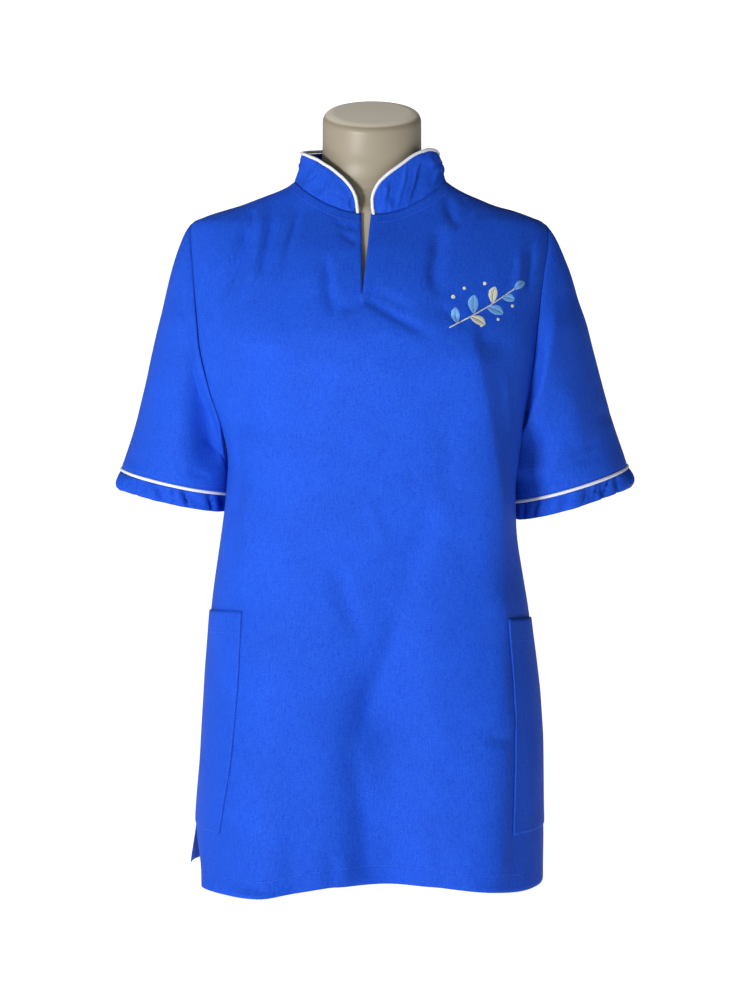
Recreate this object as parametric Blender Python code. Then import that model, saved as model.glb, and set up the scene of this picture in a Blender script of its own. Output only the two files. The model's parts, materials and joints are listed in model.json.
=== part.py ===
"""A short-sleeved work tunic, worn on the limbless dress form that holds it up.

Every size is in metres. +X is the right of the picture (the wearer's left), -Y is the
front and +Z is up. The origin is under the middle of the form's foot.

The worn cloth follows one family of level sections, given by the BODY table. The front
and back panels, the pockets and the form are all taken from it, so they fit each other.
"""

import math

import bpy
import numpy as np

CLOTH = 0.0012  # wall of every cloth piece
APART = 0.0003  # least room between two pieces
FRONT = -1
BACK = 1
LEFT = 1  # the wearer's left, at +X
RIGHT = -1

LIFT = 0.003  # how much higher the worn tunic hangs than its tables say
UNDERARM = 0.500  # height of the lowest point of the armhole
SHOULDER_TIP = 0.7245
NECK_SIDE = 0.7685
NECK_FRONT = 0.7325
NECK_BACK = 0.7680
SLIT_TIP = 0.6455
SLIT_X = -0.0102
SLIT_OPEN = {LEFT: 0.0092, RIGHT: -0.0011}  # how far each edge stands off at the top
SIDE_SEAM = 0.0003  # half of the gap between front and back
NECK_SHARE = 0.42  # share of a panel's half that ends at the neckline
POCKET_SHARE = 0.55  # where the pockets begin, as a share of the front's half
POCKET_FOOT = 0.065
POCKET_TOP = 0.302


def table(names, rows):
    """A dict of arrays, one for each named column."""
    return dict(zip(names.split(), np.array(rows, float).T))


# Level sections of the worn tunic: half width on the wearer's right and left, depth
# before and behind the middle, where the side seam is, and how square the curve is in
# front and behind (2 is an ellipse).
BODY = table(
    "z wide_r wide_l front back seam square_f square_b",
    [
        (0.0000, 0.1985, 0.1905, 0.1470, 0.1260, 0.000, 2.75, 2.50),
        (0.0500, 0.1955, 0.1897, 0.1440, 0.1240, 0.000, 2.70, 2.50),
        (0.0850, 0.1935, 0.1890, 0.1420, 0.1220, 0.000, 2.65, 2.50),
        (0.1500, 0.1883, 0.1880, 0.1380, 0.1190, 0.000, 2.60, 2.45),
        (0.2000, 0.1853, 0.1855, 0.1340, 0.1160, 0.000, 2.55, 2.40),
        (0.3100, 0.1755, 0.1700, 0.1280, 0.1100, -0.010, 2.45, 2.25),
        (0.4000, 0.1622, 0.1562, 0.1260, 0.1060, -0.026, 2.40, 1.95),
        (0.4300, 0.1585, 0.1553, 0.1265, 0.1050, -0.028, 2.35, 1.95),
        (0.4640, 0.1560, 0.1590, 0.1280, 0.1055, -0.030, 2.25, 1.95),
        (0.5000, 0.1630, 0.1645, 0.1300, 0.1070, -0.024, 2.20, 2.05),
        (0.5500, 0.1860, 0.1800, 0.1330, 0.1100, -0.012, 2.10, 2.15),
        (0.6000, 0.2010, 0.1905, 0.1320, 0.1120, -0.004, 2.10, 2.10),
        (0.6500, 0.2045, 0.1955, 0.1140, 0.1100, 0.000, 2.10, 2.10),
        (0.6900, 0.2025, 0.1965, 0.0900, 0.1030, 0.000, 2.10, 2.10),
        (0.7130, 0.2000, 0.1935, 0.0700, 0.0945, 0.000, 2.10, 2.10),
        (0.7245, 0.1950, 0.1860, 0.0595, 0.0885, 0.000, 2.10, 2.10),
        (0.7294, 0.1830, 0.1735, 0.0552, 0.0855, 0.000, 2.10, 2.10),
        (0.7359, 0.1645, 0.1545, 0.0500, 0.0810, 0.000, 2.10, 2.10),
        (0.7424, 0.1435, 0.1335, 0.0462, 0.0763, 0.000, 2.10, 2.10),
        (0.7489, 0.1265, 0.1175, 0.0430, 0.0715, 0.000, 2.10, 2.10),
        (0.7620, 0.0940, 0.0905, 0.0370, 0.0625, 0.000, 2.10, 2.10),
        (0.7685, 0.0845, 0.0810, 0.0340, 0.0580, 0.000, 2.10, 2.10),
    ],
)

# Heights of the level rows between the hem and the underarm.
LEVELS = (0.0, 0.030, POCKET_FOOT, 0.100, 0.138, 0.176, 0.214, 0.252, POCKET_TOP, 0.345)
LEVELS += (0.384, 0.422, 0.460, 0.500)

# Height of the front hem across the tunic.
HEM = table(
    "x z",
    [
        (-0.190, 0.0035),
        (-0.155, 0.0030),
        (-0.120, 0.0042),
        (-0.079, 0.0115),
        (-0.040, 0.0172),
        (0.015, 0.0184),
        (0.066, 0.0168),
        (0.094, 0.0139),
        (0.124, 0.0098),
        (0.168, 0.0045),
        (0.190, 0.0048),
    ],
)

# Soft folds, each along a straight line of the front or back view. high_0 and high_1
# say how far it stands out at its two ends; below nothing is a hollow.
FOLDS = table(
    "face x_0 z_0 x_1 z_1 width high_0 high_1",
    [
        (FRONT, 0.0160, -0.010, 0.0120, 0.200, 0.0440, -0.028, -0.012),
        (FRONT, 0.0120, 0.200, 0.0060, 0.400, 0.0420, -0.012, 0.000),
        (FRONT, -0.1180, 0.000, -0.1060, 0.330, 0.0280, 0.013, 0.001),
        (FRONT, 0.1200, 0.000, 0.1300, 0.290, 0.0250, 0.010, 0.003),
        (FRONT, 0.1300, 0.320, 0.1050, 0.575, 0.0220, 0.004, 0.003),
        (FRONT, -0.1150, 0.500, -0.1050, 0.585, 0.0240, 0.003, 0.004),
        (FRONT, 0.0440, 0.450, 0.0300, 0.270, 0.0260, -0.002, -0.002),
        (FRONT, -0.1300, 0.700, -0.1600, 0.605, 0.0200, -0.002, -0.003),
        (BACK, 0.0000, 0.000, 0.0000, 0.420, 0.0400, 0.008, -0.003),
        (BACK, -0.0900, 0.000, -0.0760, 0.400, 0.0300, -0.012, -0.001),
        (BACK, 0.0860, 0.000, 0.0780, 0.430, 0.0300, -0.011, -0.001),
        (BACK, -0.1400, 0.660, -0.1050, 0.540, 0.0240, -0.003, -0.002),
        (BACK, 0.1400, 0.660, 0.1080, 0.530, 0.0240, -0.003, -0.002),
    ],
)

# The opening of each sleeve: middle, half width, half depth and tilt in degrees.
CUFF = {
    RIGHT: {"middle": (-0.2231, 0.028, 0.4201), "wide": 0.0682, "deep": 0.060, "tilt": 11.0},
    LEFT: {"middle": (0.2242, 0.028, 0.4173), "wide": 0.0742, "deep": 0.060, "tilt": 14.8},
}
CUFF_YAW = math.radians(-16)  # how far the long axis of each opening is turned forwards
CUFF_LEAD = math.radians(-5)  # how far the front of each opening is turned to the body
CUFF_DIP = {RIGHT: 0.015, LEFT: 0.034}  # how much lower it hangs in front, by its depth
SLEEVE_LEAN = 0.08  # how much a sleeve's front stands forwards below the armhole
BAND = 0.0185  # height of the sleeve band
PIPE = 0.0018  # radius of the piping

COLLAR_OVER = 0.0015  # how far the collar stands over the neck seam
COLLAR_ENDS = {LEFT: 0.0038, RIGHT: -0.0170}  # X of the two ends at the slit

# Height of the collar over the neck seam, by the length along the seam from each end.
COLLAR = table(
    "run right left",
    [
        (0.000, 0.0000, 0.0000),
        (0.003, 0.0150, 0.0200),
        (0.010, 0.0250, 0.0340),
        (0.022, 0.0320, 0.0408),
        (0.039, 0.0355, 0.0446),
        (0.052, 0.0355, 0.0460),
        (0.072, 0.0325, 0.0430),
        (0.095, 0.0295, 0.0340),
        (0.130, 0.0300, 0.0300),
        (0.240, 0.0310, 0.0310),
    ],
)

# How far the form stays inside the tunic's sections at each height.
INSIDE = table(
    "z side front back",
    [
        (0.0300, 0.052, 0.062, 0.032),
        (0.1000, 0.038, 0.046, 0.018),
        (0.2000, 0.028, 0.034, 0.012),
        (0.3100, 0.030, 0.036, 0.026),
        (0.4100, 0.030, 0.042, 0.036),
        (0.5000, 0.022, 0.028, 0.024),
        (0.5600, 0.026, 0.014, 0.012),
        (0.6100, 0.024, 0.011, 0.008),
        (0.6600, 0.020, 0.010, 0.007),
        (0.7000, 0.016, 0.008, 0.006),
        (0.7245, 0.0130, 0.0065, 0.0070),
        (0.7359, 0.0058, 0.0057, 0.0070),
        (0.7489, 0.0056, 0.0057, 0.0082),
    ],
)

# The form above the shoulders: middle, half width, depth and forward tilt of each ring.
NECK = table(
    "z y wide deep tilt",
    [
        (0.7560, 0.014, 0.0900, 0.0500, 0.00),
        (0.7640, 0.010, 0.0680, 0.0450, 0.03),
        (0.7760, 0.006, 0.0580, 0.0440, 0.08),
        (0.7900, 0.004, 0.0550, 0.0440, 0.14),
        (0.8080, 0.001, 0.0540, 0.0450, 0.24),
        (0.8340, -0.002, 0.0538, 0.0460, 0.37),
        (0.8390, -0.003, 0.0524, 0.0450, 0.385),
        (0.8422, -0.003, 0.0492, 0.0426, 0.385),
        (0.8436, -0.003, 0.0434, 0.0372, 0.385),
    ],
)


def smooth(at, knots, values):
    """A curve through the values that never overshoots them."""
    at = np.clip(at, knots[0], knots[-1])
    step = np.diff(knots)
    slope = np.diff(values) / step
    same = slope[:-1] * slope[1:] > 0
    total = np.where(same, slope[:-1] + slope[1:], 1.0)
    inner = np.where(same, 2 * slope[:-1] * slope[1:] / total, 0.0)
    tangent = np.concatenate([slope[:1], inner, slope[-1:]])
    i = np.clip(np.searchsorted(knots, at) - 1, 0, len(knots) - 2)
    t = (at - knots[i]) / step[i]
    low = values[i] * (1 + 2 * t) * (1 - t) ** 2 + tangent[i] * step[i] * t * (1 - t) ** 2
    high = values[i + 1] * t**2 * (3 - 2 * t) + tangent[i + 1] * step[i] * t**2 * (t - 1)
    return low + high


def body(column, z):
    return smooth(z, BODY["z"], BODY[column])


def ease(x, start, end):
    """Rises softly from 0 to 1 between start and end."""
    t = np.clip((x - start) / (end - start), 0, 1)
    return t * t * (3 - 2 * t)


def half_width(side, z):
    return body("wide_l" if side == LEFT else "wide_r", z)


def squareness(face, z):
    return body("square_f" if face == FRONT else "square_b", z)


def depth_at(x, z, face, side):
    """Y of the cloth over a point of the front or back view."""
    n = squareness(face, z)
    share = np.clip(np.abs(x) / half_width(side, z), 0, 1)
    seam = body("seam", z)
    deep = body("front" if face == FRONT else "back", z) - face * seam
    return seam + face * deep * (1 - share**n) ** (1 / n)


def spaced(path, shares):
    """Points at shares of the length of each column of a path [step, column, 3]."""
    out = np.empty((len(shares), path.shape[1], 3))
    for c in range(path.shape[1]):
        run = np.linalg.norm(np.diff(path[:, c], axis=0), axis=1)
        run = np.concatenate([[0], np.cumsum(run)])
        for k in range(3):
            out[:, c, k] = np.interp(run[-1] * shares, run, path[:, c, k])
    return out


def row_shares(path, face, count):
    """Even shares of a column's length, with one row of the front at the slit's tip."""
    if face == BACK:
        return np.linspace(0, 1, count)
    run = np.concatenate([[0], np.cumsum(np.linalg.norm(np.diff(path[:, 0], axis=0), axis=1))])
    tip = np.interp(SLIT_TIP, path[:, 0, 2], run / run[-1])
    low = int(round(tip * (count - 1)))
    return np.concatenate([np.linspace(0, tip, low + 1), np.linspace(tip, 1, count - low)[1:]])


def hem_height(x, face):
    """Height of the hem: lowest at the two front lobes and highest between them."""
    if face == BACK:
        return 0.0125 - 0.003 * np.exp(-((x / 0.09) ** 2))
    return smooth(x, HEM["x"], HEM["z"])


def lower_rows(face, side, share, levels):
    """Rows from the hem up to the underarm."""
    angle = share * math.pi / 2
    rows = []
    for level in levels:
        x = unit_x(angle, level, face) * half_width(side, level) * side
        keep = 1 - ease(level, 0.0, 0.10)
        z = level + hem_height(x, face) * keep
        x = unit_x(angle, z, face) * half_width(side, z) * side
        x = x + slit_shift(side, z, share)
        rows.append(np.stack([x, depth_at(x, z, face, side), z], axis=-1))
    return np.array(rows)


def unit_x(angle, z, face):
    """Share of the half width at an angle round the section."""
    n = squareness(face, z)
    return np.sin(angle) / (np.sin(angle) ** n + np.cos(angle) ** n) ** (1 / n)


def slit_shift(side, z, share):
    """Moves the middle columns over to the neck slit, and opens it above its tip."""
    open_by = SLIT_OPEN[side] * np.clip((z - SLIT_TIP) / (NECK_FRONT - SLIT_TIP), 0, 1)
    near = np.clip(1 - share / NECK_SHARE, 0, 1) ** 1.5
    return (SLIT_X * ease(z, 0.42, 0.60) + open_by) * near


def armhole_x(face, side, rise):
    """X of the armhole's edge at a share of its height."""
    z = UNDERARM + (SHOULDER_TIP - UNDERARM) * rise
    reach = (0.40 if face == FRONT else 0.42) * 2 * np.sqrt(rise * (1 - rise))
    n = squareness(face, z)
    return half_width(side, z) * (1 - reach**n) ** (1 / n)


def x_neck(side):
    """Half width of the neckline."""
    return half_width(side, NECK_SIDE)


def top_edge(face, side, share):
    """X and Z of a panel's top edge: the neckline, then the shoulder seam."""
    neck = x_neck(side)
    tip = half_width(side, SHOULDER_TIP)
    turn = np.clip(share / NECK_SHARE, 0, 1)
    x = neck * np.sin(turn * math.pi / 2)
    if face == FRONT:
        z = NECK_FRONT + (NECK_SIDE - NECK_FRONT) * np.sin(turn * math.pi / 2) ** 2
    else:
        z = NECK_BACK + (NECK_SIDE - NECK_BACK) * turn**4
    heights = np.linspace(SHOULDER_TIP, NECK_SIDE, 300)
    widths = half_width(side, heights)
    out = np.clip((share - NECK_SHARE) / (1 - NECK_SHARE), 0, 1)
    seam_x = neck + (tip - neck) * out
    seam_z = np.interp(-seam_x, -widths, heights)
    on_seam = share > NECK_SHARE
    return np.where(on_seam, seam_x, x), np.where(on_seam, seam_z, z)


def upper_path(face, side, share):
    """Each column from the underarm up to the neckline or shoulder, in fine steps."""
    rise = (1 - np.cos(np.linspace(0, math.pi, 241))) / 2
    w = rise[:, None]
    s = share[None, :]
    x_low = unit_x(share * math.pi / 2, UNDERARM, face) * half_width(side, UNDERARM)
    x_top, z_top = top_edge(face, side, share)
    if face == FRONT:
        moved = np.abs(x_top * side + slit_shift(side, z_top, share)) / x_neck(side)
        rise_top = NECK_FRONT + (NECK_SIDE - NECK_FRONT) * moved**2
        z_top = np.where(share < NECK_SHARE, np.minimum(rise_top, NECK_SIDE), z_top)
    straight = x_low[-1] * (1 - w) + x_top[-1] * w
    x = x_low * (1 - w) + x_top * w + s * (armhole_x(face, side, w) - straight)
    z = UNDERARM * (1 - w) + z_top * w
    x = np.minimum(x, half_width(side, z)) * side
    x = x + slit_shift(side, z, s)
    path = np.stack([x, depth_at(x, z, face, side), z], axis=-1)
    return path


def half_panel(face, side, share, levels, count):
    low = lower_rows(face, side, share, levels)
    path = upper_path(face, side, share)
    high = spaced(path, row_shares(upper_path(face, RIGHT, share), face, count))
    rows = np.concatenate([low, high[1:]])
    rows[..., 1] += face * SIDE_SEAM
    return rows


def grid_faces(rows, columns, turned):
    faces = []
    for r in range(rows - 1):
        for c in range(columns - 1):
            a = r * columns + c
            quad = (a, a + 1, a + columns + 1, a + columns)
            faces.append(quad[::-1] if turned else quad)
    return faces


def point_normals(points, faces):
    """A unit normal at each point, from the faces round it."""
    normals = np.zeros_like(points)
    for face in faces:
        p = points[list(face)]
        n = np.cross(p[2] - p[0], p[-1] - p[1])
        for i in face:
            normals[i] += n
    return normals / np.linalg.norm(normals, axis=1)[:, None]


def fold_height(x, z, face):
    """How far the folds move the cloth out at a point of the front or back view."""
    total = np.zeros_like(x)
    for i in range(len(FOLDS["face"])):
        if FOLDS["face"][i] != face:
            continue
        f = {k: v[i] for k, v in FOLDS.items()}
        run = np.array([f["x_1"] - f["x_0"], f["z_1"] - f["z_0"]])
        t = ((x - f["x_0"]) * run[0] + (z - f["z_0"]) * run[1]) / (run @ run)
        t = np.clip(t, 0, 1)
        far = np.hypot(x - f["x_0"] - t * run[0], z - f["z_0"] - t * run[1])
        high = f["high_0"] + (f["high_1"] - f["high_0"]) * t
        total += high * np.exp(-((far / f["width"]) ** 2))
    return total


def vent_shift(points, face, share):
    """Lets the two edges of each side vent hang apart near the hem."""
    x, z = points[..., 0], points[..., 2]
    side = np.sign(x)
    wide = np.where(side < 0, 1.0, 0.12)
    out = points.copy()
    if face == FRONT:
        near = ease(share, 0.60, 0.97) * (1 - ease(z, -0.010, 0.068))
        out[..., 0] -= side * 0.0190 * near * wide
        low = ease(share, 0.74, 1.0) * (1 - ease(z, 0.014, 0.034))
        out[..., 0] -= side * 0.0050 * low * wide
        out[..., 1] -= 0.026 * near * wide
    else:
        near = ease(share, 0.74, 1.0) * (1 - ease(z, -0.002, 0.072))
        out[..., 0] += side * 0.0060 * near * (wide - 0.12)
        out[..., 1] += 0.010 * near
    return out


class Panel:
    """A front or back panel as a grid of points, with the slit's column doubled."""

    def __init__(self, face, share, levels, count):
        self.face = face
        self.share = share
        self.low = len(levels)
        halves = {}
        for side in (RIGHT, LEFT):
            rows = half_panel(face, side, share, levels, count)
            rows = vent_shift(rows, face, share[None, :] + 0 * rows[..., 0])
            halves[side] = rows
        turned = face == BACK
        right = halves[RIGHT][:, ::-1]
        left = halves[LEFT]
        self.rows, half = left.shape[:2]
        self.columns = 2 * half - 1
        self.middle = half - 1
        grid = np.concatenate([right, left[:, 1:]], axis=1)
        points = grid.reshape(-1, 3)
        faces = grid_faces(self.rows, self.columns, turned)
        if face == FRONT:
            points, faces = self.cut_slit(points, faces, left)
        normals = point_normals(points, faces)
        s = np.abs(np.linspace(-1, 1, self.columns))
        s[: self.middle + 1] = share[::-1]
        s[self.middle :] = share
        s = np.tile(s, self.rows)
        s = np.concatenate([s, np.zeros(len(points) - len(s))])
        edge = 1 - ease(s, 0.86, 1.0)
        top = 1 - ease(points[:, 2], 0.700, 0.740)
        move = fold_height(points[:, 0], points[:, 2], face) * edge * top
        points = points + normals * move[:, None]
        self.points = points
        self.faces = faces
        self.normals = point_normals(points, faces)

    def cut_slit(self, points, faces, left):
        """Gives the rows above the slit's tip a second middle point for its left edge."""
        z = left[:, 0, 2]
        tip = int(np.argmin(np.abs(z - SLIT_TIP)))
        self.tip = tip
        second = {}
        extra = []
        for r in range(tip + 1, self.rows):
            second[r * self.columns + self.middle] = len(points) + len(extra)
            extra.append(left[r, 0])
        points = np.concatenate([points, np.array(extra)])
        cut = []
        for i, quad in enumerate(faces):
            column = i % (self.columns - 1)
            if column == self.middle:
                quad = tuple(second.get(v, v) for v in quad)
            cut.append(quad)
        return points, cut

    def block(self, first_row, last_row, first_column, last_column):
        """Points and normals of a rectangle of the grid."""
        rows = np.arange(first_row, last_row + 1)
        columns = np.arange(first_column, last_column + 1)
        index = rows[:, None] * self.columns + columns[None, :]
        return self.points[index], self.normals[index]

    def armhole(self, side):
        """The edge from the underarm up to the shoulder tip."""
        column = self.columns - 1 if side == LEFT else 0
        index = np.arange(self.low - 1, self.rows) * self.columns + column
        return self.points[index], self.normals[index]


def make_object(name, points, faces, finish):
    mesh = bpy.data.meshes.new(name)
    up = 0.0 if name == "form_foot" else LIFT
    mesh.from_pydata([(x, y, z + up) for x, y, z in points], [], [tuple(f) for f in faces])
    mesh.validate()
    mesh.update()
    shader = bpy.data.materials.new(name)
    shader.use_nodes = True
    node = shader.node_tree.nodes["Principled BSDF"]
    node.inputs["Base Color"].default_value = (*finish["colour"], 1.0)
    node.inputs["Roughness"].default_value = finish["rough"]
    mesh.materials.append(shader)
    made = bpy.data.objects.new(name, mesh)
    bpy.context.scene.collection.objects.link(made)
    return made


def make_cloth(name, points, faces, finish, wall=CLOTH, normals=None):
    """A closed sheet: the points moved out and in by half the wall, with rims."""
    if normals is None:
        normals = point_normals(points, faces)
    count = len(points)
    both = np.concatenate([points + normals * wall / 2, points - normals * wall / 2])
    out = list(faces)
    out += [tuple(i + count for i in reversed(f)) for f in faces]
    edges = {}
    for f in faces:
        for a, b in zip(f, f[1:] + f[:1]):
            edges[(a, b)] = True
    for a, b in edges:
        if (b, a) not in edges:
            out.append((b, a, a + count, b + count))
    return make_object(name, both, out, finish)


def ring_faces(rings, around):
    """Quads between rings whose points run right-handed about the way they go."""
    faces = []
    for r in range(rings - 1):
        for i in range(around):
            a = r * around + i
            b = r * around + (i + 1) % around
            faces.append((a, b, b + around, a + around))
    return faces


def make_rings(name, rings, finish):
    """A solid through rings of points, closed at both ends with fans."""
    rings = np.array(rings)
    around = rings.shape[1]
    points = rings.reshape(-1, 3)
    ends = np.array([rings[0].mean(axis=0), rings[-1].mean(axis=0)])
    first, last = len(points), len(points) + 1
    points = np.concatenate([points, ends])
    faces = ring_faces(len(rings), around)
    top = (len(rings) - 1) * around
    for i in range(around):
        j = (i + 1) % around
        faces.append((first, j, i))
        faces.append((last, top + i, top + j))
    return make_object(name, points, faces, finish)


def make_tube(name, path, radius, finish, sides=6, closed=False):
    """A round cord along a path."""
    path = np.array(path)
    if closed:
        ahead = np.roll(path, -1, axis=0) - np.roll(path, 1, axis=0)
    else:
        ahead = np.gradient(path, axis=0)
    ahead /= np.linalg.norm(ahead, axis=1)[:, None]
    middle = path.mean(axis=0)
    out = path - middle
    out -= ahead * (out * ahead).sum(axis=1)[:, None]
    out /= np.linalg.norm(out, axis=1)[:, None]
    across = np.cross(ahead, out)
    turn = 2 * math.pi * (np.arange(sides) + 0.5) / sides
    rings = path[:, None] + radius * (
        np.cos(turn)[None, :, None] * out[:, None]
        + np.sin(turn)[None, :, None] * across[:, None]
    )
    if not closed:
        return make_rings(name, rings, finish)
    rings = np.concatenate([rings, rings[:1]])
    count = len(path)
    faces = []
    for f in ring_faces(count + 1, sides):
        faces.append(tuple(i % (count * sides) for i in f))
    return make_object(name, rings[:-1].reshape(-1, 3), faces, finish)


def sleeve_columns(front, back, side, steps=60):
    """One curve from each point of the armhole to the sleeve's opening."""
    up, up_normals = front.armhole(side)
    down, down_normals = (part[::-1] for part in back.armhole(side))
    ring = np.concatenate([up[:-1], [(up[-1] + down[0]) / 2], down[1:-1]])
    ring[0] = (up[0] + down[-1]) / 2
    normals = np.concatenate([up_normals[:-1], down_normals[:-1]])
    turn = []
    for part, start in ((np.concatenate([[ring[0]], up[1:]]), 0.0), (down, math.pi)):
        run = np.linalg.norm(np.diff(part, axis=0), axis=1)
        run = np.concatenate([[0], np.cumsum(run)])
        turn += list(start + math.pi * run[:-1] / run[-1])
    turn = np.array(turn)
    cuff = CUFF[side]
    tilt = math.radians(cuff["tilt"])
    level = math.cos(tilt)
    out = np.array([side * level * math.cos(CUFF_YAW), -level * math.sin(CUFF_YAW), math.sin(tilt)])
    ahead = np.array([-side * math.sin(CUFF_LEAD), -math.cos(CUFF_LEAD), -CUFF_DIP[side]])
    aside = np.array([side, 0.0, 0.0])
    down_way = np.array([0, 0, -1.0])
    ends = np.array(cuff["middle"])[None, :] - (
        out * (cuff["wide"] * np.cos(turn))[:, None]
    )
    ends = ends + ahead * (cuff["deep"] * np.sin(turn))[:, None]
    top = ((1 - np.cos(turn)) / 2)[:, None]
    lean = np.sin(turn)[:, None]
    head = top**3
    ring = ring + normals * 0.0022 * (1 - ease(top, 0.55, 0.95))
    inner = 1 - ease(top, 0.0, 0.30)
    tip_way = 1.15 if side == LEFT else 0.95
    start_way = aside * (0.42 - 0.40 * inner + (tip_way - 0.42) * head)
    start_way = start_way + down_way * (0.88 - 0.33 * head)
    start_way = start_way + np.array([0, -1.0, 0]) * (SLEEVE_LEAN * lean - 0.40 * inner)
    end_way = aside * (-0.06 + 0.50 * top + 0.26 * inner) + down_way * 0.95
    far = np.linalg.norm(ends - ring, axis=1)[:, None]
    start_way *= far * (0.62 - 0.32 * head) / np.linalg.norm(start_way, axis=1)[:, None]
    end_way *= far / np.linalg.norm(end_way, axis=1)[:, None]
    t = np.linspace(0, 1, steps + 1)[:, None, None]
    path = ring * (1 + 2 * t) * (1 - t) ** 2 + start_way * t * (1 - t) ** 2
    path = path + ends * t**2 * (3 - 2 * t) + end_way * t**2 * (t - 1)
    return path


def along(path, lengths_from_end=None, lengths_from_start=None):
    """The point of each column at a length from its end or start."""
    out = np.empty((path.shape[1], 3))
    for c in range(path.shape[1]):
        run = np.linalg.norm(np.diff(path[:, c], axis=0), axis=1)
        run = np.concatenate([[0], np.cumsum(run)])
        at = lengths_from_start if lengths_from_end is None else run[-1] - lengths_from_end
        for k in range(3):
            out[c, k] = np.interp(at, run, path[:, c, k])
    return out


def between(path, start, end, count):
    """Rings of points from a length after the start to a length before the end."""
    rings = np.empty((count, path.shape[1], 3))
    for c in range(path.shape[1]):
        run = np.linalg.norm(np.diff(path[:, c], axis=0), axis=1)
        run = np.concatenate([[0], np.cumsum(run)])
        at = np.linspace(start, run[-1] - end, count)
        for k in range(3):
            rings[:, c, k] = np.interp(at, run, path[:, c, k])
    return rings


def make_ring_cloth(name, rings, side, finish):
    """Cloth through closed rings, such as a sleeve or its band."""
    rings = np.array(rings)
    if side == RIGHT:
        rings = rings[:, ::-1]
    points = rings.reshape(-1, 3)
    faces = ring_faces(len(rings), rings.shape[1])
    faces = [f[::-1] for f in faces]
    return make_cloth(name, points, faces, finish)


def neck_curve(count):
    """Points of the neck seam from the slit's right end round the back to its left end."""
    parts = []
    for side, face in ((RIGHT, FRONT), (RIGHT, BACK), (LEFT, BACK), (LEFT, FRONT)):
        neck = x_neck(side)
        turn = np.linspace(0, math.pi / 2, 200)
        x = neck * np.sin(turn)
        if face == FRONT:
            z = NECK_FRONT + (NECK_SIDE - NECK_FRONT) * np.sin(turn) ** 2
        else:
            z = NECK_BACK + (NECK_SIDE - NECK_BACK) * (turn / (math.pi / 2)) ** 4
        y = depth_at(x, z, face, side)
        part = np.stack([x * side, y, z], axis=-1)
        if face == FRONT:
            keep = (part[:, 0] - COLLAR_ENDS[side]) * side > 0
            part = part[keep]
        if (side, face) in ((RIGHT, BACK), (LEFT, FRONT)):
            part = part[::-1]
        parts.append(part)
    line = np.concatenate([parts[0], parts[1][1:], parts[2][1:], parts[3][1:]])
    run = np.concatenate([[0], np.cumsum(np.linalg.norm(np.diff(line, axis=0), axis=1))])
    edge = 0.5 - 0.5 * np.cos(np.linspace(0, math.pi, count))
    at = run[-1] * (0.75 * edge + 0.25 * np.linspace(0, 1, count))
    points = np.stack([np.interp(at, run, line[:, k]) for k in range(3)], axis=-1)
    return points, at, run[-1]


def collar_point(base, high, part):
    """Where the collar is at a part of its height over a point of the seam."""
    share = part * high / 0.036
    lean_x = 1 - np.where(base[:, 0] < 0, 0.105, 0.125) * share
    lean_y = np.where(base[:, 1] < 0, 1 - 0.08 * share, 1 + 0.01 * share)
    near = np.where((base[:, 1] < 0) & (base[:, 0] > 0), np.exp(-((base[:, 0] / 0.016) ** 2)), 0)
    bow = 0.0042 * near * np.sin(math.pi * np.clip(part * high / 0.042, 0, 1))
    up = COLLAR_OVER + part * high
    return np.stack([base[:, 0] * lean_x - bow, base[:, 1] * lean_y, base[:, 2] + up], axis=-1)


def collar_height(at, length):
    """Height of the collar at each length along the neck seam."""
    right = smooth(at, COLLAR["run"], COLLAR["right"])
    left = smooth(length - at, COLLAR["run"], COLLAR["left"])
    return np.where(at < length / 2, right, left)


BLUE = {"colour": (0.018, 0.095, 0.700), "rough": 0.72}
WHITE = {"colour": (0.85, 0.86, 0.88), "rough": 0.55}
BEIGE = {"colour": (0.46, 0.40, 0.31), "rough": 0.45}
DARK = {"colour": (0.05, 0.05, 0.05), "rough": 0.6}


def column_shares(neck_columns, shoulder_columns):
    """Shares of a panel's half: even under the neckline and even under the shoulder."""
    neck = np.linspace(0, NECK_SHARE, neck_columns)
    return np.concatenate([neck, np.linspace(NECK_SHARE, 1, shoulder_columns)[1:]])


def make_body():
    """The two panels and the pockets that lie on the front."""
    front_share = column_shares(7, 10)
    back_share = column_shares(6, 7)
    front = Panel(FRONT, front_share, LEVELS, 16)
    back = Panel(BACK, back_share, LEVELS, 12)
    make_cloth("front", front.points, front.faces, BLUE, normals=front.normals)
    make_cloth("back", back.points, back.faces, BLUE, normals=back.normals)
    pocket_first = int(np.argmin(np.abs(front_share - POCKET_SHARE)))
    low, high = LEVELS.index(POCKET_FOOT), LEVELS.index(POCKET_TOP)
    width = len(front_share) - 1
    columns = {
        "pocket_left": (front.middle + pocket_first, front.middle + width - 1),
        "pocket_right": (front.middle - width + 1, front.middle - pocket_first),
    }
    for name, (first, last) in columns.items():
        points, normals = front.block(low, high, first, last)
        raised = points + normals * (CLOTH + 1.3 * APART)
        rows, count = raised.shape[:2]
        faces = grid_faces(rows, count, False)
        flat = raised.reshape(-1, 3)
        make_cloth(name, flat, faces, BLUE, normals=normals.reshape(-1, 3))
    return front, back


def make_sleeves(front, back):
    """Both sleeves, each with its piping and its band."""
    for side, name in ((LEFT, "left"), (RIGHT, "right")):
        path = sleeve_columns(front, back, side)
        over = BAND + 2 * PIPE + 4 * APART
        rings = between(path, 0.0011, over, 11)
        make_ring_cloth("sleeve_" + name, rings, side, BLUE)
        middle = along(path, lengths_from_end=BAND + PIPE + 2 * APART)
        make_tube("piping_" + name, middle, PIPE, WHITE, closed=True)
        make_ring_cloth("band_" + name, band_rings(path), side, BLUE)


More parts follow.
